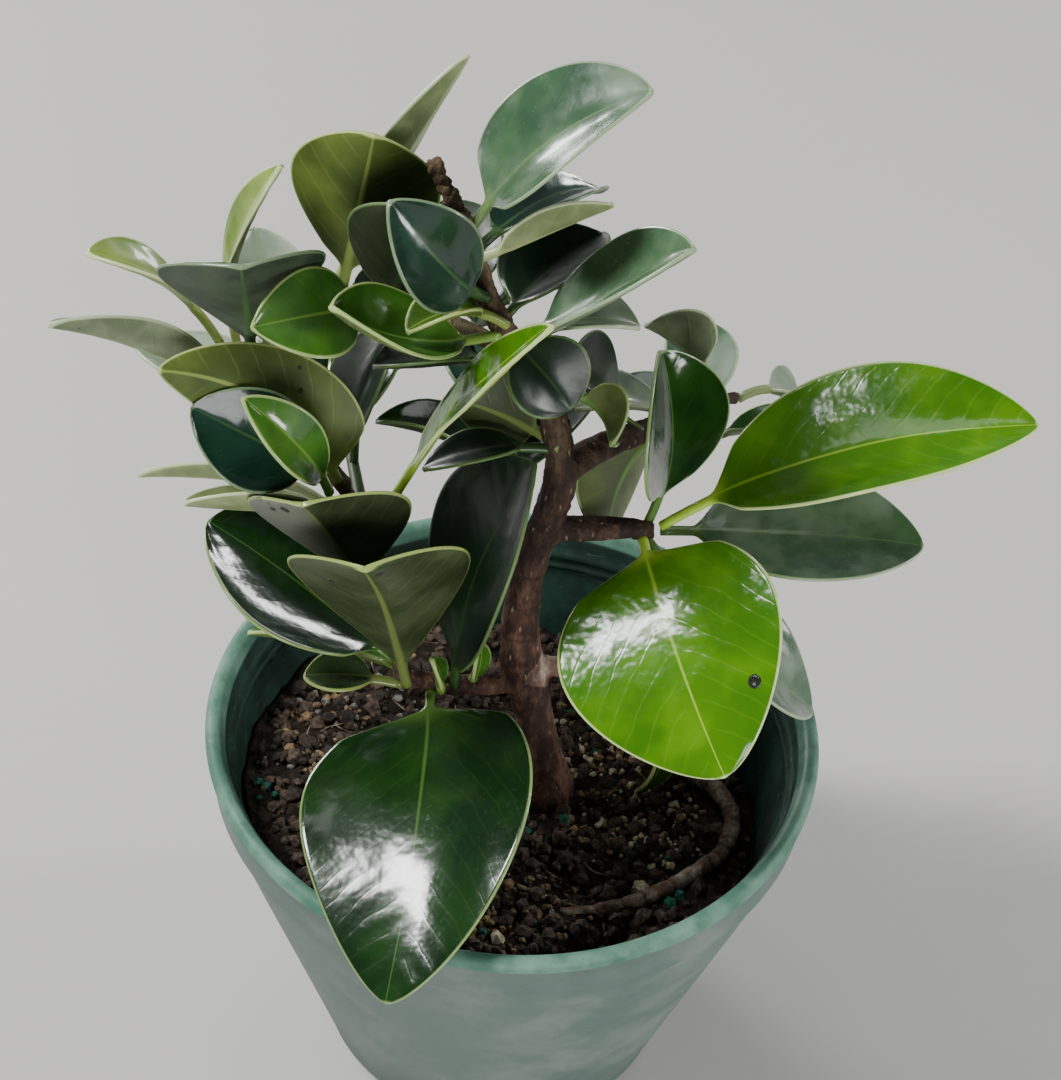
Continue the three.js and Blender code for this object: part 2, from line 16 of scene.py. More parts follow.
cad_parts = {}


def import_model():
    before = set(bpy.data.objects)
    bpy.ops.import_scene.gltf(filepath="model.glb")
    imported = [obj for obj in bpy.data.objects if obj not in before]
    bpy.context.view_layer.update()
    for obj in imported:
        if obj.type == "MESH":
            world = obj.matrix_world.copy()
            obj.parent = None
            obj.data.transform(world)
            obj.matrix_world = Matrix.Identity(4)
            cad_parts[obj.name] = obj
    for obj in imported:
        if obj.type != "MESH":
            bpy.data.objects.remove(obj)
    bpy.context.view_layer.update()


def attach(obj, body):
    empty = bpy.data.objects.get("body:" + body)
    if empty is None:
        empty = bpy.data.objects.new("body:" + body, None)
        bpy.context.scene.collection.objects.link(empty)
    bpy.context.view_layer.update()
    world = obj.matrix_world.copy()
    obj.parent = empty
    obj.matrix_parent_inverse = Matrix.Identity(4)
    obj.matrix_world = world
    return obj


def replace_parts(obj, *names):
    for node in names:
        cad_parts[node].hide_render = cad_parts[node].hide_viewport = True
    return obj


LOG = logging.getLogger("bonsai")
MM = 0.001

Point = tuple[float, float, float]
Colour = tuple[float, float, float]
Amount = float | np.ndarray


def tone(hexadecimal: str) -> Colour:
    """Linear colour of a screen colour such as "#1d3a20".

    Args:
        hexadecimal: The screen colour, with two digits for each of red, green and blue.

    Returns:
        Red, green and blue as the shaders use them.
    """
    parts = [int(hexadecimal[i:i + 2], 16) / 255 for i in (1, 3, 5)]
    red, green, blue = (p / 12.92 if p <= 0.04045 else ((p + 0.055) / 1.055) ** 2.4 for p in parts)
    return (red, green, blue)


def blend(low: Amount, high: Amount, part: Amount) -> Amount:
    """Value or values a part of the way from low to high."""
    return low + (high - low) * part


# Shader maths


class Carries(Enum):
    """What a shader socket carries."""

    VALUE = "value"
    VECTOR = "vector"
    COLOUR = "colour"


class Sum(Enum):
    """The sums that sockets take part in, by the name that the nodes use."""

    ADD = "ADD"
    SUBTRACT = "SUBTRACT"
    MULTIPLY = "MULTIPLY"
    DIVIDE = "DIVIDE"
    POWER = "POWER"


class Socket:
    """An output of a shader node that is used in Python expressions."""

    def __init__(self, paint: "Paint", output: bpy.types.NodeSocket, carries: Carries) -> None:
        """Keeps the output, the node tree it is in and what it carries."""
        self.paint = paint
        self.output = output
        self.carries = carries

    def __add__(self, other: "Operand") -> "Socket":
        """self + other."""
        return self.paint.sum(Sum.ADD, self, other)

    def __radd__(self, other: "Operand") -> "Socket":
        """other + self."""
        return self.paint.sum(Sum.ADD, other, self)

    def __sub__(self, other: "Operand") -> "Socket":
        """self - other."""
        return self.paint.sum(Sum.SUBTRACT, self, other)

    def __rsub__(self, other: "Operand") -> "Socket":
        """other - self."""
        return self.paint.sum(Sum.SUBTRACT, other, self)

    def __mul__(self, other: "Operand") -> "Socket":
        """self * other."""
        return self.paint.sum(Sum.MULTIPLY, self, other)

    def __rmul__(self, other: "Operand") -> "Socket":
        """other * self."""
        return self.paint.sum(Sum.MULTIPLY, other, self)

    def __truediv__(self, other: "Operand") -> "Socket":
        """self / other."""
        return self.paint.sum(Sum.DIVIDE, self, other)

    def __rtruediv__(self, other: "Operand") -> "Socket":
        """other / self."""
        return self.paint.sum(Sum.DIVIDE, other, self)

    def __pow__(self, other: "Operand") -> "Socket":
        """self ** other."""
        return self.paint.sum(Sum.POWER, self, other)

    def __abs__(self) -> "Socket":
        """Size of the value without its sign."""
        return self.paint.node("ShaderNodeMath", {"operation": "ABSOLUTE"}, {"Value": self})


Operand = Socket | float | Colour


class Paint:
    """The node tree of one material."""

    def __init__(self, name: str) -> None:
        """Makes an empty material of that name."""
        self.material = bpy.data.materials.new(name)
        self.material.use_nodes = True
        self.tree = self.material.node_tree
        self.tree.nodes.clear()

    def node(self, kind: str, settings: dict[str, object] | None = None,
             inputs: dict[str, Operand] | None = None, output: str | int = 0,
             carries: Carries = Carries.VALUE) -> Socket:
        """Adds a node, with its settings made before its sockets are filled.

        Args:
            kind: Blender's name for the node's type.
            settings: Properties of the node. stops holds a ramp's places and colours.
            inputs: Values or links, by the socket's identifier or name.
            output: Which output to give back.
            carries: What that output carries.

        Returns:
            The output as a Socket.
        """
        made = self.tree.nodes.new(kind)
        for key, value in (settings or {}).items():
            if key == "stops":
                ramp = made.color_ramp.elements
                while len(ramp) < len(value):
                    ramp.new(1.0)
                for stop, (place, colour) in zip(ramp, value):
                    stop.position = place
                    stop.color = (*colour, 1.0)
            else:
                setattr(made, key, value)
        for key, value in (inputs or {}).items():
            self.fill(self.find(made.inputs, key), value)
        chosen = self.find(made.outputs, output) if isinstance(output, str) else made.outputs[output]
        return Socket(self, chosen, carries)

    @staticmethod
    def find(sockets: Sequence[bpy.types.NodeSocket], key: str) -> bpy.types.NodeSocket:
        """The socket with that identifier, or else with that name."""
        by_identifier = [s for s in sockets if s.identifier == key]
        return (by_identifier or [s for s in sockets if s.name == key])[0]

    def fill(self, socket: bpy.types.NodeSocket, value: Operand) -> None:
        """Links a Socket to a node's input, or sets the input to a number or colour.

        Args:
            socket: The node's input.
            value: What it gets.
        """
        if isinstance(value, Socket):
            self.tree.links.new(value.output, socket)
        elif socket.type == "RGBA":
            socket.default_value = (*value, 1.0) if len(value) == 3 else value
        else:
            socket.default_value = value

    def sum(self, operation: Sum, first: Operand, second: Operand) -> Socket:
        """Adds the node for a sum of two operands, of the kind that they carry.

        Args:
            operation: Which sum.
            first: The operand on its left.
            second: The operand on its right.

        Returns:
            The result as a Socket.
        """
        carried = {x.carries for x in (first, second) if isinstance(x, Socket)}
        if carried == {Carries.VALUE}:
            return self.node("ShaderNodeMath", {"operation": operation.value},
                             {"Value": first, "Value_001": second})
        one, other = [x if isinstance(x, (Socket, tuple)) else (x, x, x) for x in (first, second)]
        if Carries.COLOUR in carried:
            return self.node("ShaderNodeMix", {"data_type": "RGBA", "blend_type": operation.value},
                             {"Factor_Float": 1.0, "A_Color": one, "B_Color": other},
                             "Result_Color", Carries.COLOUR)
        return self.node("ShaderNodeVectorMath", {"operation": operation.value},
                         {"Vector": one, "Vector_001": other}, 0, Carries.VECTOR)

    def mix(self, part: Operand, low: Operand, high: Operand) -> Socket:
        """Colour that goes from low to high as part goes from 0 to 1."""
        return self.node("ShaderNodeMix", {"data_type": "RGBA"},
                         {"Factor_Float": part, "A_Color": low, "B_Color": high},
                         "Result_Color", Carries.COLOUR)

    def step(self, value: Operand, low: float, high: float) -> Socket:
        """Goes smoothly from 0 at low to 1 at high."""
        return self.node("ShaderNodeMapRange", {"interpolation_type": "SMOOTHSTEP"},
                         {"Value": value, "From Min": low, "From Max": high})

    def wave(self, value: Socket) -> Socket:
        """Sine of a value in turns."""
        return self.node("ShaderNodeMath", {"operation": "SINE"}, {"Value": value * (2 * math.pi)})

    def place(self) -> Socket:
        """Place on the object, in metres in the part's own frame."""
        return self.node("ShaderNodeTexCoord", output="Object", carries=Carries.VECTOR)

    def attribute(self, name: str) -> Socket:
        """A number that the mesh keeps at each of its points."""
        return self.node("ShaderNodeAttribute", {"attribute_name": name}, output="Fac")

    def grain(self, size: float, detail: float = 3.0, rough: float = 0.55,
              at: Socket | None = None) -> Socket:
        """Cloudy noise from 0 to 1 whose lumps are about that size, in metres."""
        return self.node("ShaderNodeTexNoise", {},
                         {"Vector": at or self.place(), "Scale": 1 / size, "Detail": detail,
                          "Roughness": rough})

    def spots(self, size: float, at: Socket | None = None) -> Socket:
        """Distance to the nearest of many scattered points, as a part of that spacing in metres."""
        return self.node("ShaderNodeTexVoronoi", {}, {"Vector": at or self.place(), "Scale": 1 / size})

    def bump(self, height: Socket, depth: float) -> Socket:
        """Normal of a surface whose height, from 0 to 1, is worth depth in metres."""
        return self.node("ShaderNodeBump", {}, {"Height": height, "Distance": depth}, 0, Carries.VECTOR)

    def surface(self, **inputs: Operand) -> bpy.types.Material:
        """Ends the material in a Principled shader and gives it back.

        Args:
            **inputs: Sockets of the shader, with underscores for the spaces in their names.

        Returns:
            The finished material.
        """
        shader = self.node("ShaderNodeBsdfPrincipled", {},
                           {key.replace("_", " "): value for key, value in inputs.items()})
        end = self.tree.nodes.new("ShaderNodeOutputMaterial")
        self.tree.links.new(shader.output, end.inputs["Surface"])
        return self.material


# Finishes


@dataclass(frozen=True)
class LeafFinish:
    """Colours of one kind of leaf, on its glossy face and on its back."""

    name: str
    gloss: str
    gloss_light: str
    back: str
    back_light: str
    vein: str
    rim: str
    shine: float = 0.2
    # How much painted sheen the glossy face gets: pale clouds that stand in for hazy reflected light.
    sheen_wash: float = 0.0
    relief: float = 0.1
    # How much one half of the back is washed grey: a painted sheen of light on that half.
    sheen_half: float = 0.0
    coat: float = 0.3

    # Pale colour of that painted sheen.
    SHEEN_WASH_COLOUR: ClassVar[str] = "#a9b7a4"
    # Grey of that painted sheen on one half of the back.
    HALF_SHEEN_COLOUR: ClassVar[str] = "#85857c"
    SPECK: ClassVar[str] = "#14150f"

    def glossy_face(self) -> bpy.types.Material:
        """Polished upper face with a pale midrib, faint side veins and a pale rim.

        Returns:
            The finished material.
        """
        paint = Paint(f"{self.name}_gloss")
        rib = abs(paint.attribute("rib"))
        rim = paint.attribute("rim")
        veins = self.side_veins(paint, rib)
        patches = paint.step(paint.grain(9 * MM, 2.0), 0.38, 0.7)
        near_rib = 1 - paint.step(rib, 0.0, 9 * MM)
        colour = paint.mix(patches * 0.6 + near_rib * 0.3, tone(self.gloss), tone(self.gloss_light))
        colour = paint.mix(veins * 0.06, colour, tone(self.vein))
        # Painted sheen: pale clouds mixed into the glossy face stand in for hazy reflected light; they also
        # make it a little rougher.
        cloud = paint.step(paint.grain(14 * MM, 3.0, 0.6), 0.4, 0.75)
        colour = paint.mix(cloud * self.sheen_wash, colour, tone(self.SHEEN_WASH_COLOUR))
        midrib = 1 - paint.step(rib / self.taper(paint), 0.1 * MM, 0.55 * MM)
        colour = paint.mix(midrib * 0.65, colour, tone(self.vein))
        colour = paint.mix(self.rim_mask(paint, rim), colour, tone(self.rim))
        colour = paint.mix(paint.step(paint.attribute("stalk"), 0.1, 0.9), colour, tone(self.vein))
        dust = paint.step(paint.grain(0.9 * MM, 2.0), 0.6, 0.75)
        rough = self.shine + dust * 0.1 + cloud * (0.25 * self.sheen_wash)
        relief = paint.bump(paint.grain(4 * MM, 2.0) - veins * 0.05, self.relief * MM)
        return paint.surface(Base_Color=colour, Roughness=rough, Normal=relief,
                             Coat_Weight=self.coat, Coat_Roughness=0.08, Specular_IOR_Level=0.4)

    def dull_back(self) -> bpy.types.Material:
        """Matte underside with a raised pale midrib, net veins and small dark specks.

        Returns:
            The finished material.
        """
        paint = Paint(f"{self.name}_back")
        rib = abs(paint.attribute("rib"))
        rim = paint.attribute("rim")
        veins = self.side_veins(paint, rib)
        patches = paint.step(paint.grain(10 * MM, 3.0), 0.35, 0.7)
        colour = paint.mix(patches, tone(self.back), tone(self.back_light))
        # Painted sheen: one half of the back, on one side of the midrib, is washed grey where light falls on
        # it.
        if self.sheen_half:
            half = paint.step(paint.attribute("rib"), -0.8 * MM, 0.8 * MM)
            colour = paint.mix(half * self.sheen_half, colour, tone(self.HALF_SHEEN_COLOUR))
        net = 1 - paint.step(paint.spots(1.6 * MM), 0.0, 0.25)
        colour = paint.mix(veins * 0.14 + net * 0.06, colour, tone(self.vein))
        midrib = 1 - paint.step(rib / self.taper(paint), 0.35 * MM, 0.95 * MM)
        colour = paint.mix(midrib * 0.9, colour, tone(self.vein))
        specks = 1 - paint.step(paint.spots(5.5 * MM), 0.05, 0.085)
        specks = specks * paint.step(paint.grain(16 * MM, 1.0), 0.5, 0.56)
        colour = paint.mix(specks * 0.85, colour, tone(self.SPECK))
        colour = paint.mix(self.rim_mask(paint, rim), colour, tone(self.rim))
        colour = paint.mix(paint.step(paint.attribute("stalk"), 0.1, 0.9), colour, tone(self.vein))
        relief = paint.bump(veins * 0.3 + paint.grain(1.2 * MM, 3.0) * 0.35, 0.1 * MM)
        return paint.surface(Base_Color=colour, Roughness=0.5, Normal=relief, Specular_IOR_Level=0.35)

    @staticmethod
    def taper(paint: Paint) -> Socket:
        """How wide the midrib is, from 1 at the foot of the blade to little at its tip."""
        return 1.05 - paint.attribute("along") * 0.8

    @staticmethod
    def rim_mask(paint: Paint, rim: Socket) -> Socket:
        """1 in the thin pale rim of the blade, and 0 inside it."""
        return (1 - paint.step(rim, 0.05 * MM, 0.38 * MM)) * 0.7

    @staticmethod
    def side_veins(paint: Paint, rib: Socket) -> Socket:
        """1 on the side veins, which leave the midrib at a slant and curve forward to the rim.

        Args:
            paint: The material that it is worked out in.
            rib: Distance from the midrib.

        Returns:
            0 between the veins and 1 on them.
        """
        run = paint.attribute("run")
        bent = run - rib * 0.75 - rib * rib * 18.0
        wander = paint.grain(6 * MM, 1.0) * 0.3
        line = abs(paint.wave(bent / (9.5 * MM) + wander))
        return (1 - paint.step(line, 0.0, 0.28)) * paint.step(rib, 0.6 * MM, 2.5 * MM)


class LeafTone(Enum):
    """The kinds of leaf on this plant, from the darkest to the youngest. SHADE is painted shade, a much
    darker copy for leaves inside the crown, and MISTY and HAZY are paler copies that paint in the hazy sheen
    of reflected light.
    """

    # Painted shade: SHADE is a near-black copy of the mature leaf, for leaves deep in the crown's shade.
    SHADE = LeafFinish("shade", "#06170a", "#0f2914", "#1b2413", "#2c371e", "#2f4a20", "#5f7a45", 0.34,
                       coat=0.08)
    DEEP = LeafFinish("deep", "#08240a", "#193c10", "#353f20", "#535e31", "#4c6e2c", "#8fa968", 0.16)
    TEAL = LeafFinish("teal", "#0c2419", "#1a382a", "#263226", "#3e4b38", "#3d5c32", "#7d9670")
    # Painted sheen: MISTY and HAZY are paler, greyer copies for leaves that catch hazy reflected light.
    MISTY = LeafFinish("misty", "#26482f", "#4a6b48", "#536249", "#7a886f", "#6b8650", "#a2b38c", 0.24, 0.35)
    HAZY = LeafFinish("hazy", "#4c6148", "#728467", "#59664a", "#82906f", "#84965f", "#b2be98", 0.36, 0.6)
    GREYED = LeafFinish("greyed", "#17300f", "#2c4a1c", "#2b361b", "#454f32", "#66753a", "#a3b562", 0.25,
                        sheen_wash=0.05)
    # DUSKY carries the painted sheen on one half of its back.
    DUSKY = LeafFinish("dusky", "#17300f", "#2c4a1c", "#232d17", "#3a4429", "#66753a", "#a3b562", 0.25,
                       sheen_wash=0.05, sheen_half=0.5)
    OLIVE = LeafFinish("olive", "#244214", "#44651f", "#40501e", "#5b6b2a", "#8a9c4c", "#bccb7e", 0.25)
    BRIGHT = LeafFinish("bright", "#1e4a12", "#4a7a22", "#47592a", "#6f8140", "#7ba044", "#b0c67c", 0.16,
                        sheen_wash=0.05)
    PALE = LeafFinish("pale", "#63773c", "#95a268", "#6f7c52", "#9ca577", "#a3b079", "#c6cfa4", 0.32, 0.3)
    YELLOW = LeafFinish("yellow", "#5c7d1e", "#90a740", "#6e8140", "#99a765", "#adbc6c", "#d0daa4", 0.3, 0.1)
    LIME = LeafFinish("lime", "#376c02", "#5b8e06", "#6a8730", "#93a84a", "#a9cc44", "#dbe8a0", 0.18,
                      relief=0.26)


# Meshes


def put_mesh(name: str, points: np.ndarray, faces: Sequence[Sequence[int]],
             materials: Sequence[bpy.types.Material], slots: Sequence[int] | None = None,
             smooth: bool = True, numbers: dict[str, np.ndarray] | None = None) -> bpy.types.Object:
    """Makes an object from points in millimetres.

    Args:
        name: Name of the object.
        points: Its points, one row each.
        faces: The points of each face.
        materials: Its materials.
        slots: Which material each face takes, or None for the first.
        smooth: Whether it is shaded smoothly.
        numbers: Values kept at each point for the materials to read, by name.

    Returns:
        The object, in the scene.
    """
    mesh = bpy.data.meshes.new(name)
    mesh.from_pydata((np.asarray(points) * MM).tolist(), [], faces)
    for material in materials:
        mesh.materials.append(material)
    if slots is not None:
        mesh.polygons.foreach_set("material_index", np.asarray(slots, dtype=np.int32))
    mesh.polygons.foreach_set("use_smooth", np.full(len(mesh.polygons), smooth))
    for key, values in (numbers or {}).items():
        layer = mesh.attributes.new(key, "FLOAT", "POINT")
        layer.data.foreach_set("value", np.asarray(values, dtype=np.float32))
    mesh.update()
    made = bpy.data.objects.new(name, mesh)
    bpy.context.scene.collection.objects.link(made)
    return made


@dataclass
class Heap:
    """Points and faces that are gathered from several shapes into one mesh."""

    points: list[np.ndarray] = field(default_factory=list)
    faces: list[list[int]] = field(default_factory=list)
    slots: list[int] = field(default_factory=list)
    numbers: dict[str, list[np.ndarray]] = field(default_factory=dict)
    count: int = 0

    def add(self, points: np.ndarray, faces: Sequence[Sequence[int]], slots: Sequence[int],
            **numbers: np.ndarray) -> None:
        """Adds a shape, with the material of each face and the values of each point.

        Args:
            points: Its points, one row each.
            faces: The points of each face.
            slots: Which material each face takes.
            **numbers: Values kept at each point, by name.
        """
        self.points.append(points)
        self.faces += [[self.count + i for i in face] for face in faces]
        self.slots += list(slots)
        for key, values in numbers.items():
            self.numbers.setdefault(key, []).append(values)
        self.count += len(points)

    def put(self, name: str, materials: Sequence[bpy.types.Material],
            smooth: bool = True) -> bpy.types.Object:
        """Makes the object that holds everything added."""
        numbers = {key: np.concatenate(values) for key, values in self.numbers.items()}
        return put_mesh(name, np.concatenate(self.points), self.faces, materials, self.slots, smooth, numbers)


def unit(rows: np.ndarray) -> np.ndarray:
    """Each row as a vector of length 1."""
    return rows / np.linalg.norm(rows, axis=-1, keepdims=True)


def smooth_line(line: Sequence[Point], count: int) -> np.ndarray:
    """Evenly spaced points on the centripetal Catmull-Rom curve through a line's points.

    Args:
        line: The points that the curve goes through.
        count: How many points to give back.

    Returns:
        One row for each point.
    """
    knots = [np.array(p, float) for p in line]
    knots = [2 * knots[0] - knots[1], *knots, 2 * knots[-1] - knots[-2]]
    fine = []
    for a, b, c, d in zip(knots, knots[1:], knots[2:], knots[3:]):
        gaps = [max(np.linalg.norm(q - p) ** 0.5, 1e-4) for p, q in ((a, b), (b, c), (c, d))]
        leave = ((b - a) / gaps[0] - (c - a) / (gaps[0] + gaps[1]) + (c - b) / gaps[1]) * gaps[1]
        arrive = ((c - b) / gaps[1] - (d - b) / (gaps[1] + gaps[2]) + (d - c) / gaps[2]) * gaps[1]
        for part in np.linspace(0, 1, 24, endpoint=False):
            square, cube = part * part, part ** 3
            fine.append((2 * cube - 3 * square + 1) * b + (cube - 2 * square + part) * leave
                        + (3 * square - 2 * cube) * c + (cube - square) * arrive)
    fine.append(knots[-2])
    fine = np.array(fine)
    reach = np.concatenate([[0], np.cumsum(np.linalg.norm(np.diff(fine, axis=0), axis=1))])
    places = np.linspace(0, reach[-1], count)
    return np.stack([np.interp(places, reach, fine[:, k]) for k in range(3)], axis=1)


def bands(rings: int, sides: int) -> list[list[int]]:
    """Faces between each ring of points and the next one.

    Args:
        rings: How many rings there are.
        sides: How many points each has.

    Returns:
        The points of each face.
    """
    faces = []
    for i in range(0, (rings - 1) * sides, sides):
        for j in range(sides):
            k = (j + 1) % sides
            faces.append([i + j, i + k, i + sides + k, i + sides + j])
    return faces


def shell(rings: int, sides: int) -> list[list[int]]:
    """Faces of a closed turned shape, whose rings of points are followed by a middle point for each end.

    Args:
        rings: How many rings there are.
        sides: How many points each has.

    Returns:
        The points of each face.
    """
    faces = [face[::-1] for face in bands(rings, sides)]
    middle = rings * sides
    last = middle - sides
    for j in range(sides):
        k = (j + 1) % sides
        faces += [[middle, j, k], [middle + 1, last + k, last + j]]
    return faces


def tube(centres: np.ndarray, radii: np.ndarray, sides: int) -> tuple[np.ndarray, list[list[int]]]:
    """Points and faces of a closed round tube along a line of centres.

    Args:
        centres: Its middle line, one row for each ring.
        radii: Its radius at each.
        sides: How many points go round it.

    Returns:
        Its points and the points of each face.
    """
    tangents = np.gradient(centres, axis=0)
    tangents /= np.linalg.norm(tangents, axis=1, keepdims=True)
    side = np.cross(tangents[0], (0.3, 0.9, 0.2))
    points = []
    for centre, tangent, radius in zip(centres, tangents, radii):
        side = side - tangent * np.dot(side, tangent)
        side /= np.linalg.norm(side)
        other = np.cross(tangent, side)
        turns = np.linspace(0, 2 * math.pi, sides, endpoint=False)[:, None]
        points.append(centre + radius * (np.cos(turns) * side + np.sin(turns) * other))
    faces = bands(len(centres), sides)
    last = (len(centres) - 1) * sides
    faces.append(list(range(sides))[::-1])
    faces.append(list(range(last, last + sides)))
    return np.concatenate(points), faces


# Leaves


@dataclass(frozen=True)
class Fleck:
    """A small black scar on a leaf: its place across and along the blade, and its radius in mm."""

    leaf: str
    across: float
    along: float
    radius: float
    back: bool = False

    PROFILE: ClassVar[tuple[tuple[float, float], ...]] = (
        (1.0, -0.1), (0.85, 0.12), (0.6, 0.16), (0.4, 0.05), (0.15, 0.0))
    SIDES: ClassVar[int] = 14
    SLOT: ClassVar[int] = 2

    def build(self, heap: Heap, centre: np.ndarray, normal: np.ndarray) -> None:
        """Adds the scar, a small crater, where the leaf says.

        Args:
            heap: Where its points and faces go.
            centre: Its middle, on the leaf.
            normal: Which way the leaf faces there.
        """
        across = unit(np.cross(normal, (0.3, 0.8, 0.5)))
        other = np.cross(normal, across)
        points = []
        for reach, height in self.PROFILE:
            for k in range(self.SIDES):
                turn = 2 * math.pi * k / self.SIDES
                out = math.cos(turn) * across + math.sin(turn) * other
                points.append(centre + self.radius * reach * out + height * normal)
        faces = bands(len(self.PROFILE), self.SIDES)
        faces.append(list(range(len(points) - self.SIDES, len(points))))
        faces.append(list(range(self.SIDES))[::-1])
        zero = np.zeros(len(points))
        heap.add(np.array(points), faces, [self.SLOT] * len(faces), rib=zero, rim=zero, run=zero, along=zero,
                 stalk=zero)

    @staticmethod
    def material() -> bpy.types.Material:
        """Black and slightly wet.

        Returns:
            The finished material.
        """
        paint = Paint("fleck")
        cloud = paint.grain(0.4 * MM, 2.0)
        colour = paint.mix(cloud, tone("#050604"), tone("#1b1c12"))
        return paint.surface(Base_Color=colour, Roughness=0.35, Normal=paint.bump(cloud, 0.1 * MM))


@dataclass(frozen=True)
class Midrib:
    """The line that a leaf grows along, with a row for each place from the stalk's foot to the tip."""

    centre: np.ndarray
    face: np.ndarray
    side: np.ndarray
    along: np.ndarray
    blade_length: float


@dataclass(frozen=True)
class Leaf:
    """One leaf: a stalk and a folded blade along a bent midrib. Lengths in mm, angles in degrees."""

    name: str
    tone: LeafTone
    stalk: Point
    tip: Point
    faces: Point
    width: float
    petiole: float = 5
    arch: float = 3
    sway: float = 0
    fold: float = 18
    curl: float = 15
    widest: float = 0.5
    twist: float = 0

    THICKNESS: ClassVar[float] = 0.8
    THIN_RIM: ClassVar[float] = 0.35
    ROUNDNESS: ClassVar[float] = 0.66
    STALK_RADIUS: ClassVar[float] = 0.9
    STALK_RUN: ClassVar[float] = 0.125
    STALK_ROWS: ClassVar[int] = 5
    TIP_RADIUS: ClassVar[float] = 0.25
    RIB_DEPTH: ClassVar[float] = 0.5
    RIB_REACH: ClassVar[float] = 0.75
    GROOVE_DEPTH: ClassVar[float] = 0.16
    GROOVE_REACH: ClassVar[float] = 0.45
    RIM_BULGE: ClassVar[float] = 0.16
    NO_RIM: ClassVar[float] = 9.0
    CREASE: ClassVar[float] = 0.3
    RIPPLE: ClassVar[float] = 0.14
    WAVE: ClassVar[float] = 0.16
    QUILT: ClassVar[float] = 0.03
    QUILT_SPACING: ClassVar[float] = 4.75
    FINE_ROWS_PER_MM: ClassVar[float] = 1.3
    ROWS_PER_MM: ClassVar[float] = 0.6
    LEAST_ROWS: ClassVar[int] = 16
    FINE_COLUMNS: ClassVar[int] = 14
    COLUMNS: ClassVar[int] = 8

    def half_width(self, along: np.ndarray) -> np.ndarray:
        """Half the width of the blade, at parts of its length."""
        power = math.log(0.5) / math.log(self.widest)
        return 0.5 * self.width * np.sin(math.pi * np.minimum(along, 1) ** power) ** self.ROUNDNESS

    def across(self, fine: bool) -> np.ndarray:
        """Places across the blade, closer together at its rims.

        Args:
            fine: Whether it gets the full number of points.

        Returns:
            Places from -1 at one rim to 1 at the other.
        """
        even = np.linspace(0, 1, self.FINE_COLUMNS if fine else self.COLUMNS)
        half = 0.5 * (even + np.sin(even * math.pi / 2))
        return np.concatenate([-half[::-1], half[1:]])

    def section(self, u: np.ndarray) -> tuple[np.ndarray, np.ndarray, np.ndarray]:
        """How far out and how high the blade's section is at places across it, and how it leans there.

        Args:
            u: Places across the blade, from -1 at one rim to 1 at the other.

        Returns:
            Distance out and height as parts of the half width, and the lean in radians.
        """
        reach = np.linspace(0, 1, 101)
        soft = np.clip(reach / self.CREASE, 0, 1)
        lean = np.radians(self.fold + self.curl * reach) * soft * soft * (3 - 2 * soft)
        steps = np.diff(reach)
        out = np.concatenate([[0], np.cumsum(np.cos(0.5 * (lean[1:] + lean[:-1])) * steps)])
        rise = np.concatenate([[0], np.cumsum(np.sin(0.5 * (lean[1:] + lean[:-1])) * steps)])
        size = np.abs(u)
        return (np.sign(u) * np.interp(size, reach, out), np.interp(size, reach, rise),
                np.sign(u) * np.interp(size, reach, lean))

    def midrib(self, fine: bool) -> Midrib:
        """Where the middle of the leaf runs, and which way it faces there.

        Args:
            fine: Whether it gets the full number of rows.

        Returns:
            The leaf's midrib, with its stalk.
        """
        start, end = np.array(self.stalk, float), np.array(self.tip, float)
        chord = end - start
        length = float(np.linalg.norm(chord))
        ahead = chord / length
        up = unit(np.array(self.faces, float) - ahead * np.dot(self.faces, ahead))
        middle = (start + end) / 2 + up * 2 * self.arch + np.cross(ahead, up) * 2 * self.sway
        blade_start = self.petiole / length
        blade_length = length * (1 - blade_start)
        rows = int(blade_length * (self.FINE_ROWS_PER_MM if fine else self.ROWS_PER_MM))
        even = np.linspace(0, 1, max(self.LEAST_ROWS, rows))
        places = 0.5 * (even + 0.5 * (1 - np.cos(even * math.pi)))
        stalk_places = np.linspace(0, blade_start, self.STALK_ROWS)[:-1]
        t = np.concatenate([stalk_places, blend(blade_start, 1, places)])[:, None]
        along = np.maximum(0.0, (t - blade_start) / (1 - blade_start))
        centre = (1 - t) ** 2 * start + 2 * t * (1 - t) * middle + t * t * end
        tangent = unit((1 - t) * (middle - start) + t * (end - middle))
        face = unit(up - tangent * (tangent @ up)[:, None])
        turn = math.radians(self.twist) * (t - 0.5)
        face = face * np.cos(turn) + np.cross(tangent, face) * np.sin(turn)
        return Midrib(centre, face, np.cross(tangent, face), along, blade_length)

    def height(self, flat: np.ndarray, u: np.ndarray, rib: np.ndarray, run: np.ndarray,
               stalk: np.ndarray, seed: int) -> np.ndarray:
        """Height of the blade with its ripples, its quilting between the veins and its wavy rims.

        Args:
            flat: Height of the smooth folded blade, by row and place across.
            u: Places across the blade.
            rib: Distance from the midrib, by row and place across.
            run: Distance along the blade, by row.
            stalk: How much of each row is stalk, from 1 to 0.
            seed: Sets where the blade ripples.

        Returns:
            Height by row and place across.
        """
        inside = np.clip((1 - np.abs(u)) * 4, 0, 1) * (1 - stalk)
        phase = [2 * math.pi * random.Random(seed * 7 + k).random() for k in range(4)]
        swell = np.sin(run / 5.2 + phase[0] + rib / 6) + np.sin(rib / 3.4 + phase[1] + run / 11)
        bent = run - 0.75 * np.abs(rib) - 0.018 * rib ** 2
        quilt = self.QUILT * np.minimum(np.abs(u) * 5, 1) * np.cos(2 * math.pi * bent / self.QUILT_SPACING)
        wave = np.abs(u) ** 3 * (1 - stalk) * np.sin(run / 4.1 + phase[2] + (u > 0) * phase[3])
        return flat + inside * (self.RIPPLE * swell + quilt) + self.WAVE * wave

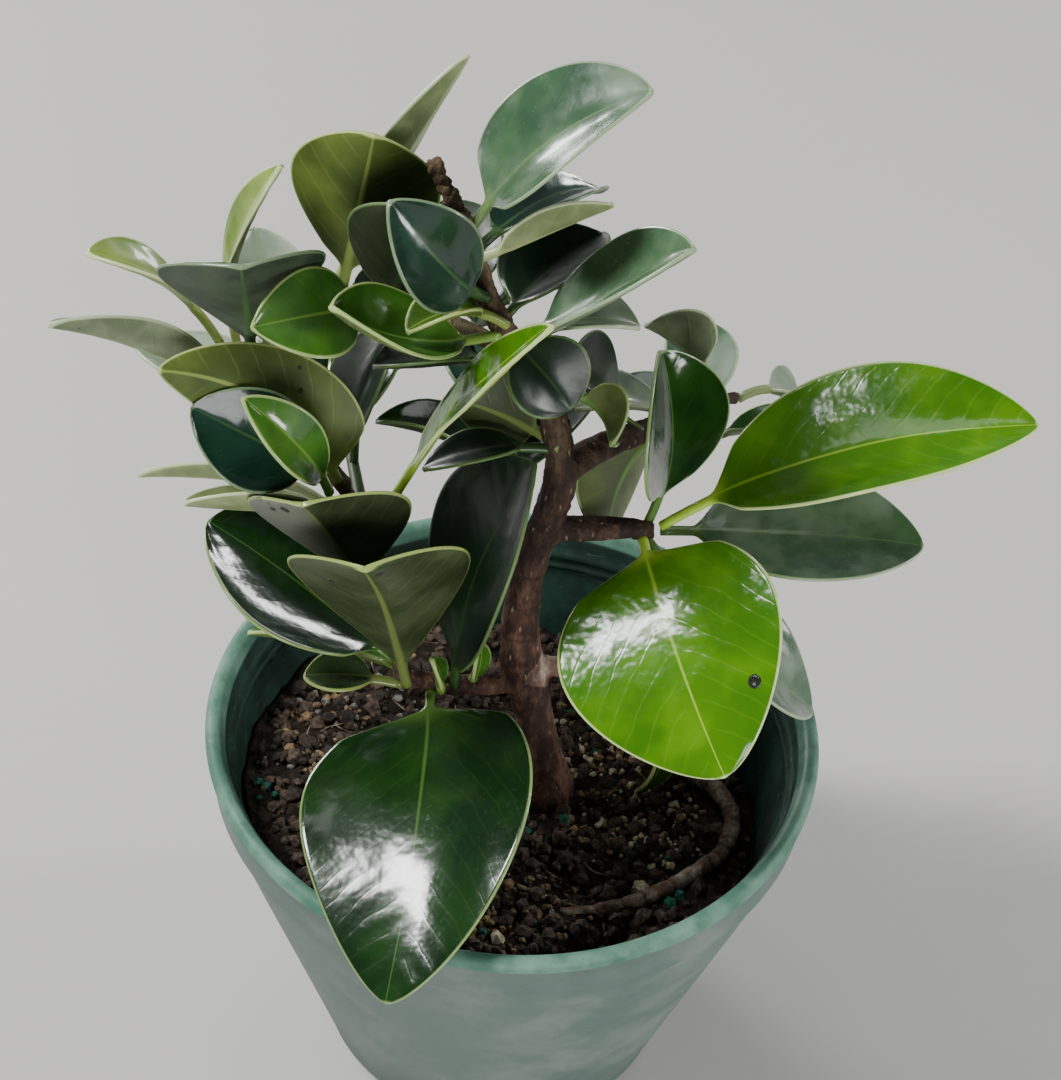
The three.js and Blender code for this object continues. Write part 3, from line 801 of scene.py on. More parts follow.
    def build(self, heap: Heap, fine: bool, seed: int) -> None:
        """Adds the leaf to a heap: glossy face, back, and a rounded rim between them.

        Args:
            heap: Where its points and faces go. Material 0 is the glossy face and 1 the back.
            fine: Whether it gets the full number of points.
            seed: Sets where its blade ripples.
        """
        spine = self.midrib(fine)
        centre, face, side = spine.centre[:, None], spine.face[:, None], spine.side[:, None]
        along = spine.along
        u = self.across(fine)
        out, rise, lean = self.section(u)
        stalk = np.maximum(0.0, 1 - along / self.STALK_RUN) ** 1.5
        least = np.where(along < 0.5, self.STALK_RADIUS, self.TIP_RADIUS)
        half = (self.half_width(along) ** 4 + least ** 4) ** 0.25
        rib, run = u * half, along * spine.blade_length
        height = self.height(half * rise, u, rib, run, stalk, seed)
        normal = face * np.cos(lean)[:, None] - side * np.sin(lean)[:, None]
        sheet = centre + side * (half * out)[..., None] + face * height[..., None]
        groove = self.GROOVE_DEPTH * (1 - along) * np.exp(-((rib / self.GROOVE_REACH) ** 2)) * (1 - stalk)
        ridge = self.RIB_DEPTH * (1 - 0.85 * along) * np.exp(-((rib / self.RIB_REACH) ** 2)) * (1 - stalk)
        thin = 0.5 * self.THICKNESS * (1 - self.THIN_RIM * np.clip(np.abs(u) * 4 - 3, 0, 1))
        turned = u[:, None] * math.pi / 2
        round_side = self.STALK_RADIUS * np.sin(turned) * side
        round_up = self.STALK_RADIUS * np.cos(turned) * face
        part = stalk[..., None]
        round_top = centre + round_side + 0.75 * round_up
        tops = blend(sheet + normal * (thin - groove)[..., None], round_top, part)
        unders = blend(sheet - normal * (thin + ridge)[..., None], centre + round_side - round_up, part)
        rims = np.minimum(half * (1 - np.abs(u)), 0.6 * (1 - along) * spine.blade_length)
        rims = np.where(stalk < 1, rims, self.NO_RIM)
        each = np.ones(len(u))
        kept = {"rib": rib * MM, "rim": rims * MM, "run": run * each * MM,
                "along": along * each, "stalk": stalk * each}
        self.join(heap, tops, unders, kept)
        for fleck in FLECKS:
            if fleck.leaf == self.name:
                i = int(np.argmin(np.abs(along[:, 0] - fleck.along)))
                j = int(np.argmin(np.abs(u - fleck.across)))
                if fleck.back:
                    fleck.build(heap, unders[i, j], -normal[i, j])
                else:
                    fleck.build(heap, tops[i, j], normal[i, j])

    def join(self, heap: Heap, tops: np.ndarray, unders: np.ndarray, kept: dict[str, np.ndarray]) -> None:
        """Adds the rows of points to a heap, with the faces between them and a rounded rim.

        Args:
            heap: Where its points and faces go.
            tops: Points of the glossy face, by row and place across.
            unders: Points of the back, likewise.
            kept: Values that each point keeps for the materials, likewise.
        """
        stalks = kept["stalk"]
        rows, n = stalks.shape
        edge = 0.5 * (tops[:, [0, -1]] + unders[:, [0, -1]])
        outward = edge - 0.5 * (tops[:, [1, -2]] + unders[:, [1, -2]])
        outward /= np.maximum(np.linalg.norm(outward, axis=2, keepdims=True), 1e-6)
        edge = edge + self.RIM_BULGE * outward * (1 - stalks[:, [0, -1], None])
        points = np.concatenate([tops.reshape(-1, 3), unders.reshape(-1, 3), edge.reshape(-1, 3)])
        low, rim_row = rows * n, 2 * rows * n
        faces, slots = [], []
        for i in range(rows - 1):
            for j in range(n - 1):
                a, b = i * n + j, (i + 1) * n + j
                faces += [[a, a + 1, b + 1, b], [low + a, low + b, low + b + 1, low + a + 1]]
                slots += [0, 1]
            left, right = i * n, i * n + n - 1
            e, f = rim_row + 2 * i, rim_row + 2 * i + 2
            faces += [[left, left + n, f, e], [low + left, e, f, low + left + n]]
            faces += [[right, e + 1, f + 1, right + n], [low + right, low + right + n, f + 1, e + 1]]
            slots += [0, 1, 0, 1]
        for row, flip in ((0, 1), (rows - 1, -1)):
            first, e = row * n, rim_row + 2 * row
            ring = [e, *range(first, first + n), e + 1, *range(low + first + n - 1, low + first - 1, -1)]
            faces.append(ring[::-flip])
            slots.append(1)
        numbers = {key: np.concatenate([v.ravel(), v.ravel(), v[:, [0, -1]].ravel()])
                   for key, v in kept.items()}
        numbers["rim"][rim_row:] = np.where(stalks[:, [0, -1]] < 1, 0.0, self.NO_RIM * MM).ravel()
        heap.add(points, faces, slots, **numbers)


LEAVES = (
    Leaf("leaf_01_top_spear", LeafTone.PALE, (-35, 15, 160), (-15, 18, 205),
         (-0.8, 0.5, 0.3), 17, arch=1, fold=10, curl=5),
    Leaf("leaf_02_top_round", LeafTone.OLIVE, (-33, 10, 163), (-28, 8, 196),
         (0.1, 1, 0.1), 24, arch=1, fold=8, curl=8, widest=0.58),
    Leaf("leaf_03_left_sickle", LeafTone.YELLOW, (-50, 13, 147), (-42, 8, 189),
         (-0.9, -0.2, 0.2), 10, petiole=10, arch=4, fold=15),
    Leaf("leaf_04_left_pale", LeafTone.YELLOW, (-53, 13, 149), (-73, 8, 169),
         (0.5, 0.4, 0.8), 15, petiole=8, arch=3, fold=10),
    Leaf("leaf_05_left_upright", LeafTone.TEAL, (-47, 10, 144), (-46, -10, 183),
         (-0.2, 0.9, 0.4), 27, petiole=12, arch=2, fold=14, curl=8, widest=0.68),
    Leaf("leaf_06_far_left", LeafTone.HAZY, (-47, 9, 140), (-77, -4, 164),
         (0.1, 0.8, 0.6), 15, petiole=8, arch=2, fold=20),
    Leaf("leaf_07_left_back", LeafTone.HAZY, (-45, 12, 141), (-49, 26, 163),
         (0.2, -0.4, 0.8), 16, petiole=8),
    Leaf("leaf_09_left_inner", LeafTone.BRIGHT, (-29, 7, 163), (-44, -13, 174),
         (0.1, -0.7, 0.7), 15, fold=10),
    Leaf("leaf_10_head_under", LeafTone.SHADE, (-25, 6, 162), (-20, -6, 193),
         (0.2, 1, 0.3), 21, arch=1, fold=10, curl=10),
    Leaf("leaf_11_head_gloss", LeafTone.TEAL, (-9, 1, 172), (-24, -11, 198),
         (0.6, -0.7, 0.3), 15, petiole=7, sway=-2, fold=10),
    Leaf("leaf_13_top_right", LeafTone.MISTY, (-13, 4, 182), (13, 8, 208),
         (-0.7, -0.2, 0.7), 24, arch=2, sway=-2.5, fold=12, widest=0.42),
    Leaf("leaf_14_head_back", LeafTone.TEAL, (-12, 3, 179), (7, 30, 173),
         (-0.1, 0.1, 1), 16),
    Leaf("leaf_15_head_pale", LeafTone.PALE, (-11, 2, 179), (9, 6, 188),
         (-0.3, 0.7, 0.6), 11, petiole=3, arch=0),
    Leaf("leaf_16_head_dark", LeafTone.SHADE, (-7, 2, 167), (8, 20, 172),
         (-0.4, -0.1, 0.9), 20, petiole=3, arch=1),
    Leaf("leaf_17_right_sheen", LeafTone.MISTY, (-4, 1, 164), (21, -10, 193),
         (-0.7, 0.1, 0.7), 19, arch=0),
    Leaf("leaf_18_boat", LeafTone.BRIGHT, (-7, 0, 166), (-32, -14, 180),
         (0.4, 0.1, 0.9), 18, arch=-4, fold=20),
    Leaf("leaf_19_boat_small", LeafTone.OLIVE, (-6, 0, 168), (-21, -9, 172),
         (0, 0.2, 1), 10, fold=25),
    Leaf("leaf_20_boat_low", LeafTone.SHADE, (-5, 1, 161), (-27, 3, 155),
         (0, 0.2, 1), 17, arch=0, fold=20),
    Leaf("leaf_21_lime_blade", LeafTone.LIME, (-27, 4, 115), (1, -22, 186),
         (-0.9, 0, 0.4), 10, petiole=24, arch=2, sway=-3, fold=12),
    Leaf("leaf_22_left_under", LeafTone.OLIVE, (-32, -1, 133), (-60, -6, 158),
         (-0.2, 0.95, -0.2), 20, petiole=2, arch=1, sway=-5, fold=12, curl=10, widest=0.3, twist=60),
    Leaf("leaf_23_left_grey", LeafTone.HAZY, (-36, 5, 135), (-69, 24, 138),
         (0.1, 0.1, 1), 18, petiole=8, arch=1),
    Leaf("leaf_24_left_bright", LeafTone.BRIGHT, (-33, -4, 133), (-46, -11, 158),
         (0.8, -0.5, 0.3), 10, fold=10),
    Leaf("leaf_25_left_dark", LeafTone.TEAL, (-34, -3, 136), (-55, -6, 151),
         (0, -0.7, 0.7), 17, petiole=3, arch=2, fold=8),
    Leaf("leaf_26_low_under", LeafTone.DUSKY, (-21, -5, 96), (-36, -17, 142),
         (0.1, 0.9, 0.1), 29, petiole=22, fold=16, curl=10, widest=0.62),
    Leaf("leaf_27_left_band", LeafTone.PALE, (-30, 1, 127), (-57, -5, 129),
         (-0.1, 0.6, 0.8), 16, arch=-1),
    Leaf("leaf_28_low_gloss", LeafTone.DEEP, (-20, -3, 92), (-56, 12, 109),
         (0.4, -0.1, 0.9), 36, arch=1, fold=10),
    Leaf("leaf_29_low_heart", LeafTone.GREYED, (-19, -7, 92), (-25, -27, 139),
         (-0.1, 0.9, 0.4), 32, fold=18, curl=12, widest=0.64),
    Leaf("leaf_30_trunk_side", LeafTone.SHADE, (-11, -4, 89), (0, -3, 142),
         (-0.9, -0.4, 0.2), 30, fold=8, widest=0.56),
    Leaf("leaf_31_front_low", LeafTone.DEEP, (-15, -5, 89), (-17, -61, 73),
         (-0.3, -0.2, 0.9), 41, petiole=4, arch=5, sway=-3, fold=6, curl=6, widest=0.38),
    Leaf("leaf_32_low_small", LeafTone.GREYED, (-20, -6, 91), (-37, -7, 92),
         (0.1, -0.1, 0.9), 10, arch=1),
    Leaf("leaf_33_low_lime", LeafTone.BRIGHT, (-17, -3, 90), (-49, 10, 84),
         (0, 0.4, 0.9), 11, arch=2),
    Leaf("leaf_34_left_sliver", LeafTone.PALE, (-28, 4, 120), (-68, 14, 117),
         (0, 0.8, 0.6), 8, arch=3),
    Leaf("leaf_35_mid_under", LeafTone.GREYED, (4, -1, 144), (-14, 6, 147),
         (-0.4, 0.9, 0), 16, arch=2, fold=10),
    Leaf("leaf_36_mid_narrow", LeafTone.SHADE, (3, 0, 143), (-18, -1, 137),
         (-0.1, 0, 1), 9, arch=2, fold=15),
    Leaf("leaf_37_mid_olive", LeafTone.DEEP, (1, 2, 153), (12, -5, 149),
         (0.6, 0.7, 0.2), 13, arch=4, fold=25),
    Leaf("leaf_38_mid_grey", LeafTone.HAZY, (-4, 3, 161), (15, 8, 163),
         (0.1, 0.2, 1), 16),
    Leaf("leaf_39_right_back", LeafTone.HAZY, (30, 25, 136), (17, 30, 146),
         (0, 0.8, 0.5), 16),
    Leaf("leaf_40_right_upright", LeafTone.DEEP, (20, 3, 126), (19, 10, 157),
         (0.8, -0.5, 0.3), 25, arch=3, fold=10),
    Leaf("leaf_41_right_olive", LeafTone.DEEP, (22, 17, 137), (13, 4, 120),
         (-0.7, 0.7, -0.1), 18, fold=10),
    Leaf("leaf_42_right_lime", LeafTone.LIME, (22, 2, 126), (81, 6, 151),
         (-0.4, -0.1, 0.9), 30, petiole=9, arch=6, fold=12),
    Leaf("leaf_43_right_dark", LeafTone.MISTY, (22, 3, 124), (66, 2, 126),
         (0, -0.1, 1), 26, arch=1, fold=8),
    Leaf("leaf_44_right_grey", LeafTone.HAZY, (34, 28, 133), (45, 30, 130),
         (-0.5, 0.1, 0.9), 14),
    Leaf("leaf_45_front_lime", LeafTone.LIME, (19, 1, 124), (35, -36, 107),
         (-0.4, -0.5, 0.8), 39, petiole=3, arch=4, fold=6, curl=5, widest=0.42),
    Leaf("leaf_46_right_low", LeafTone.MISTY, (18, 4, 124), (52, -2, 89),
         (0.7, -0.2, 0.6), 20, sway=6),
    Leaf("leaf_47_mid_dark", LeafTone.SHADE, (0, 3, 156), (13, 15, 139),
         (0.7, 0, 0.8), 20),
    Leaf("leaf_48_pot_small", LeafTone.OLIVE, (26, 10, 68), (24, 3, 58),
         (0.8, -0.6, 0.3), 7, petiole=2),
    Leaf("leaf_49_front_dark", LeafTone.SHADE, (-6, 1, 165), (5, -6, 157),
         (0, -0.6, 0.8), 15, petiole=3),
    Leaf("bud_1", LeafTone.BRIGHT, (-13, -5, 89), (-15, -9, 101),
         (1, -0.2, 0.3), 5, petiole=2, arch=0.5),
    Leaf("bud_2", LeafTone.BRIGHT, (-8, -2, 88), (-7, -4, 101),
         (0.8, -0.6, -0.1), 5, petiole=2, arch=0.5),
)


FLECKS = (
    Fleck("leaf_45_front_lime", -0.72, 0.71, 1.25),
    Fleck("leaf_26_low_under", 0.5, 0.88, 0.9, True),
    Fleck("leaf_26_low_under", 0.62, 0.82, 0.6, True),
    Fleck("leaf_29_low_heart", -0.2, 0.93, 0.6, True),
    Fleck("leaf_29_low_heart", 0.45, 0.72, 0.45, True),
    Fleck("leaf_22_left_under", -0.5, 0.4, 0.5, True),
)


@dataclass(frozen=True)
class Spray:
    """A leafy twig: leaves turned round it by the same angle each time. Lengths in millimetres."""

    name: str
    start: Point
    end: Point
    turn: float
    tones: tuple[LeafTone, ...]

    TWIG: ClassVar[tuple[float, float]] = (1.2, 0.9)
    TWIG_ROWS: ClassVar[int] = 12
    TWIG_SIDES: ClassVar[int] = 10
    LEAF_LENGTH: ClassVar[float] = 26
    LEAF_SHAPE: ClassVar[float] = 0.6
    TIP_SIZE: ClassVar[float] = 0.8
    EACH_TURN: ClassVar[float] = 137.5
    BARE_PART: ClassVar[float] = 0.45
    LAST_PART: ClassVar[float] = 0.97
    FORWARD: ClassVar[float] = 0.6
    LIFT: ClassVar[float] = 0.25

    def leaves(self) -> list[Leaf]:
        """The leaves of the spray, from the first to the one at its tip.

        Returns:
            One leaf for each of the spray's tones.
        """
        start, end = Vector(self.start), Vector(self.end)
        ahead = (end - start).normalized()
        up = (Vector((0, 0, 1)) - ahead * ahead.z).normalized()
        made = []
        for i, leaf_tone in enumerate(self.tones):
            part = i / (len(self.tones) - 1)
            root = start.lerp(end, blend(self.BARE_PART, self.LAST_PART, part))
            heading = Quaternion(ahead, math.radians(self.turn + i * self.EACH_TURN)) @ up
            heading += ahead * self.FORWARD
            heading.z = max(heading.z, 0) + self.LIFT
            size = self.LEAF_LENGTH * blend(1, self.TIP_SIZE, part)
            tip = root + heading.normalized() * size
            made.append(Leaf(f"{self.name}_{i}", leaf_tone, tuple(root), tuple(tip),
                             (0.4 * ahead.x, 0.4 * ahead.y, 1), self.LEAF_SHAPE * size))
        return made


SPRAYS = (
    Spray("spray_1_back_left", (-28, 0, 126), (-34, 28, 122), 30,
          (LeafTone.SHADE, LeafTone.DEEP, LeafTone.TEAL, LeafTone.DEEP)),
    Spray("spray_2_back_head", (-8, 2, 168), (-12, 24, 148), 75,
          (LeafTone.SHADE, LeafTone.TEAL, LeafTone.SHADE, LeafTone.DEEP)),
    Spray("spray_3_back_middle", (0, 1, 118), (-8, 26, 122), 130,
          (LeafTone.SHADE, LeafTone.DEEP, LeafTone.SHADE, LeafTone.TEAL)),
    Spray("spray_4_back_right", (24, 19, 136), (30, 38, 112), 200,
          (LeafTone.HAZY, LeafTone.MISTY, LeafTone.DEEP, LeafTone.TEAL)),
)


class Foliage:
    """All the leaves, each in the place of its own plain solid."""

    def __init__(self, fine: bool) -> None:
        """Keeps how finely the leaves are made, and a place for their materials."""
        self.fine = fine
        self.paints: dict[LeafTone, list[bpy.types.Material]] = {}

    def materials(self, leaf_tone: LeafTone) -> list[bpy.types.Material]:
        """Glossy face and back of a kind of leaf, made once.

        Args:
            leaf_tone: The kind of leaf.

        Returns:
            Its two materials.
        """
        if leaf_tone not in self.paints:
            self.paints[leaf_tone] = [leaf_tone.value.glossy_face(), leaf_tone.value.dull_back()]
        return self.paints[leaf_tone]

    def slot(self, leaf_tone: LeafTone) -> str:
        """Name of the slot for a kind of leaf: leaf_lime, leaf_olive or leaf_mature.

        Args:
            leaf_tone: The kind of leaf.

        Returns:
            The name of the slot.
        """
        young = (LeafTone.LIME, LeafTone.YELLOW)
        dull = (LeafTone.OLIVE, LeafTone.GREYED, LeafTone.PALE, LeafTone.HAZY)
        if leaf_tone in young:
            return "leaf_lime"
        return "leaf_olive" if leaf_tone in dull else "leaf_mature"

    def build(self) -> list[bpy.types.Object]:
        """Makes every leaf and spray.

        Returns:
            The objects made.
        """
        made = []
        black = Fleck.material()
        for seed, leaf in enumerate(LEAVES):
            heap = Heap()
            leaf.build(heap, self.fine, seed)
            scarred = any(fleck.leaf == leaf.name for fleck in FLECKS)
            piece = heap.put(f"{leaf.name}_fine", self.materials(leaf.tone) + [black] * scarred)
            made.append((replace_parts(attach(piece, "root"), leaf.name), self.slot(leaf.tone))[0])
        for seed, spray in enumerate(SPRAYS):
            made.append(self.build_spray(spray, seed))
        return made

    def build_spray(self, spray: Spray, seed: int) -> bpy.types.Object:
        """Makes one spray, its leaves and twig in one mesh.

        Args:
            spray: The spray.
            seed: Sets where its blades ripple.

        Returns:
            The piece, on its body.
        """
        heap = Heap()
        materials: list[bpy.types.Material] = []
        for i, leaf in enumerate(spray.leaves()):
            first = len(heap.slots)
            leaf.build(heap, False, 100 + 10 * seed + i)
            heap.slots[first:] = [slot + len(materials) for slot in heap.slots[first:]]
            materials += self.materials(leaf.tone)
        centres = smooth_line([spray.start, spray.end], spray.TWIG_ROWS)
        points, faces = tube(centres, np.linspace(*spray.TWIG, spray.TWIG_ROWS), spray.TWIG_SIDES)
        zero = np.zeros(len(points))
        heap.add(points, faces, [1] * len(faces), rib=zero, rim=zero + Leaf.NO_RIM * MM, run=zero,
                 along=zero, stalk=zero + 1)
        piece = heap.put(f"{spray.name}_fine", materials)
        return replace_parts(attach(piece, "root"), spray.name)


# Wood


@dataclass(frozen=True)
class Limb:
    """A stretch of wood along a line in mm, with how old and how root-like it looks, from 0 to 1."""

    line: tuple[Point, ...]
    radii: tuple[float, ...]
    age: float
    root: float = 0.0

    def centres(self) -> np.ndarray:
        """Points along the middle of the limb, about 1 mm apart."""
        length = sum(math.dist(a, b) for a, b in zip(self.line, self.line[1:]))
        return smooth_line(self.line, max(8, int(length)))

    def radius(self, count: int) -> np.ndarray:
        """Radius at each of that many points along the limb."""
        return np.interp(np.linspace(0, 1, count), np.linspace(0, 1, len(self.radii)), self.radii)


LIMBS = (
    Limb(((8.5, 1, 40), (8, 1, 50), (7.2, 1, 59), (5, 1, 71), (2.8, 1, 82), (0.6, 1, 92), (-0.2, 1, 104),
          (0.6, 1, 116), (2.7, 1, 125), (4.5, 1, 135), (4.5, 1, 141)),
         (4, 5, 4.8, 3.5, 3.5, 3.9, 3.3, 3, 3, 2.8, 2.6), 0.75),
    Limb(((4.5, 1, 139), (2, 1, 150), (-3, 1, 160), (-9, 2, 171), (-14, 4, 184), (-19, 6, 194)),
         (2.6, 2.2, 2, 1.9, 1.6, 1.1), 0.45),
    Limb(((0, 1, 88), (-8, -2, 88), (-15, -4, 90), (-20, -5, 93)), (3, 2, 1.7, 1.5), 0.6),
    Limb(((-20, -5, 92), (-23, 0, 104), (-27, 4, 118), (-32, -1, 133)), (1.6, 1.5, 1.4, 1.2), 0.35),
    Limb(((-31, 0, 131), (-38, 5, 136), (-46, 10, 142), (-52, 13, 148)), (1.4, 1.4, 1.3, 1.1), 0.2),
    Limb(((-4, 1, 161), (-14, 6, 162), (-25, 8, 163), (-33, 8, 165)), (1.6, 1.5, 1.3, 1.2), 0.3),
    Limb(((2, 1, 124), (10, 2, 124), (21, 2, 125)), (2.6, 2, 1.7), 0.5),
    Limb(((4, 1, 137), (11, 8, 137), (20, 16, 136), (27, 22, 137), (34, 27, 134)),
         (2.6, 2.4, 1.9, 1.4, 1.1), 0.5),
    Limb(((2, 1, 91), (8, 3, 89), (14, 5, 85), (20, 8, 76), (26, 10, 65), (33, 10, 57), (39, 6.5, 55.5),
          (41.5, 0, 55.5), (40, -8, 56), (34, -15.4, 57), (25, -22.5, 57.8), (18, -26, 58.2),
          (11, -27.6, 58.3)),
         (2, 1.8, 1.7, 1.6, 1.6, 1.6, 1.6, 1.6, 1.5, 1.5, 1.4, 1.2, 1), 0.5, 1.0),
)


@dataclass(frozen=True)
class BarkFinish:
    """Thin mottled bark, with pale cork dots, rings where leaves have dropped, and painted shade on the upper
    trunk.
    """

    old: str = "#2c1b15"
    old_light: str = "#6b4c3d"
    young: str = "#4f4a30"
    young_light: str = "#8a8158"
    root: str = "#664b41"
    root_light: str = "#a89a8a"
    ring: str = "#231812"
    shaded: str = "#1d1410"
    crack: str = "#1a120d"
    cork: str = "#a08c72"
    ring_spacing: float = 15

    def material(self) -> bpy.types.Material:
        """The bark as a material that reads each point's age, root and run.

        Returns:
            The finished material.
        """
        paint = Paint("bark")
        streak = paint.node("ShaderNodeMapping", {}, {"Vector": paint.place(), "Scale": (1, 1, 0.35)},
                            0, Carries.VECTOR)
        cloud = paint.step(paint.grain(3.2 * MM, 5.0, 0.65, streak), 0.38, 0.66)
        fine = paint.grain(0.7 * MM, 4.0, 0.6, streak)
        old = paint.mix(cloud, tone(self.old), tone(self.old_light))
        young = paint.mix(cloud, tone(self.young), tone(self.young_light))
        root = paint.mix(cloud, tone(self.root), tone(self.root_light))
        colour = paint.mix(paint.step(paint.attribute("age"), 0.15, 0.6), young, old)
        # Painted shade: the bark is darkened between about 96 and 180 mm up, where the upper trunk lies in
        # the crown's shade; the stub above keeps its own colour.
        height = paint.node("ShaderNodeSeparateXYZ", {}, {"Vector": paint.place()}, "Z")
        high = paint.step(height, 96 * MM, 128 * MM) - paint.step(height, 160 * MM, 180 * MM)
        colour = paint.mix(high * 0.6, colour, tone(self.shaded))
        colour = paint.mix(paint.attribute("root"), colour, root)
        colour = paint.mix(paint.step(fine, 0.52, 0.7) * 0.45, colour, tone(self.crack))
        cork = (1 - paint.step(paint.spots(1.5 * MM, streak), 0.1, 0.24)) * paint.step(fine, 0.35, 0.5)
        colour = paint.mix(cork * 0.6, colour, tone(self.cork))
        turns = paint.attribute("run") / (self.ring_spacing * MM)
        scar = 1 - paint.step(abs(paint.wave(turns)), 0.03, 0.2)
        colour = paint.mix(scar * 0.5, colour, tone(self.ring))
        relief = paint.bump(cloud * 0.5 + fine * 0.6 + cork * 0.5, 0.5 * MM)
        return paint.surface(Base_Color=colour, Roughness=0.62 + fine * 0.25, Normal=relief,
                             Specular_IOR_Level=0.3)


@dataclass
class Wood:
    """Trunk, branches and the root on the soil, grown as one piece. Lengths in millimetres."""

    finish: BarkFinish = field(default_factory=BarkFinish)
    sides: int = 20
    voxel: float = 0.5
    quick_voxel: float = 0.8
    smoothing: int = 3
    ring_spacing: float = 7.5
    ring_width: float = 0.55
    ring_height: float = 0.16
    lump_height: float = 0.3
    stub_start: float = 178
    scale_spacing: float = 1.7
    scale_height: float = 0.42

    def build(self) -> bpy.types.Object:
        """Makes the wood from its limbs, melted together and given its relief.

        Returns:
            The piece, on its body.
        """
        heap = Heap()
        for limb in LIMBS:
            centres = limb.centres()
            points, faces = tube(centres, limb.radius(len(centres)), self.sides)
            heap.add(points, faces, [0] * len(faces))
        rough = heap.put("wood_rough", [self.finish.material()])
        melt = rough.modifiers.new("melt", "REMESH")
        melt.mode = "VOXEL"
        melt.voxel_size = self.voxel * MM
        melt.use_smooth_shade = True
        soften = rough.modifiers.new("soften", "SMOOTH")
        soften.iterations = self.smoothing
        solid = bpy.data.meshes.new_from_object(rough.evaluated_get(bpy.context.evaluated_depsgraph_get()))
        bpy.data.objects.remove(rough)
        self.carve(solid)
        wood = bpy.data.objects.new("trunk_and_branches_fine", solid)
        bpy.context.scene.collection.objects.link(wood)
        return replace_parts(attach(wood, "root"), "trunk_and_branches")

    def carve(self, mesh: bpy.types.Mesh) -> None:
        """Gives the bark its rings and lumps, and keeps each point's age, root and run for its finish.

        Args:
            mesh: The melted wood, which is changed.
        """
        lines = [(limb, limb.centres()) for limb in LIMBS]
        near = KDTree(sum(len(centres) for _, centres in lines))
        facts = []
        for limb, centres in lines:
            for i, centre in enumerate(centres):
                near.insert(centre, len(facts))
                facts.append((limb.age, limb.root, float(i)))
        near.balance()
        ages, roots, runs = [], [], []
        for vertex in mesh.vertices:
            spot = vertex.co / MM
            age, root, run = facts[near.find(spot)[1]]
            off_ring = ((run / self.ring_spacing + 0.5) % 1 - 0.5) * self.ring_spacing
            ring = math.exp(-(off_ring / self.ring_width) ** 2)
            lump = noise.fractal(spot * 0.22, 0.6, 2.0, 4)
            lift = self.ring_height * ring + self.lump_height * lump
            if spot.z > self.stub_start:
                scale = (run + spot.x * 0.5) / self.scale_spacing % 1
                lift += self.scale_height * (scale - 0.5 + 0.8 * noise.noise(spot * 1.1))
            vertex.co += vertex.normal * MM * lift
            ages.append(age)
            roots.append(root)
            runs.append(run * MM)
        for key, values in (("age", ages), ("root", roots), ("run", runs)):
            layer = mesh.attributes.new(key, "FLOAT", "POINT")
            layer.data.foreach_set("value", values)
        mesh.update()


# Soil


@dataclass(frozen=True)
class SoilFinish:
    """Damp dark potting mix."""

    dark: str = "#241e18"
    light: str = "#51463a"
    fibre: str = "#4b4032"

    def material(self) -> bpy.types.Material:
        """Crumbly near-black soil with a few lighter fibres.

        Returns:
            The finished material.
        """
        paint = Paint("soil")
        crumb = paint.grain(2.2 * MM, 5.0, 0.7)
        fine = paint.grain(0.5 * MM, 3.0, 0.6)
        colour = paint.mix(paint.step(crumb, 0.45, 0.75), tone(self.dark), tone(self.light))
        colour = paint.mix(paint.step(fine, 0.62, 0.75) * 0.5, colour, tone(self.fibre))
        relief = paint.bump(crumb + fine * 0.5, 0.9 * MM)
        return paint.surface(Base_Color=colour, Roughness=0.95, Normal=relief, Specular_IOR_Level=0.2)


@dataclass(frozen=True)
class Grit:
    """One kind of loose grain: its colours, how many lie on the soil, their size in mm and where they lie."""

    name: str
    colour: str
    light: str
    count: int
    size: tuple[float, float]
    patches: tuple[tuple[float, float, float], ...]

    def material(self) -> bpy.types.Material:
        """Rough mineral or wood crumb.

        Returns:
            The finished material.
        """
        paint = Paint(f"grit_{self.name}")
        cloud = paint.grain(0.8 * MM, 3.0)
        colour = paint.mix(paint.step(cloud, 0.35, 0.65), tone(self.colour), tone(self.light))
        return paint.surface(Base_Color=colour, Roughness=0.85, Normal=paint.bump(cloud, 0.25 * MM))


GRITS = (
    Grit("bark_crumb", "#352a21", "#5f4e3f", 900, (1.0, 3.4), ((0, 0, 32),)),
    Grit("peat", "#241e19", "#3d3228", 900, (0.9, 3.2), ((0, 0, 33),)),
    Grit("perlite", "#a89c80", "#d8cdb0", 340, (0.5, 1.7),
         ((22, 6, 10), (14, 12, 9), (27, -4, 7), (25, 14, 9))),
    Grit("tan_crumb", "#5f4a33", "#9a7f5c", 600, (0.6, 2.0),
         ((20, 6, 13), (12, 14, 10), (-30, 8, 9), (10, -31, 9), (-5, -30, 10), (0, 0, 32))),
    Grit("green_grain", "#0f3d33", "#226a55", 44, (1.2, 2.6),
         ((8, -12, 6), (28, -16, 5), (16, 14, 6), (-40, -6, 7), (-8, -34, 5), (12, 22, 6))),
    Grit("grey_crumb", "#4a4741", "#8c877c", 150, (0.6, 1.8), ((-34, 6, 10), (-28, 16, 9), (8, -20, 10))),
)


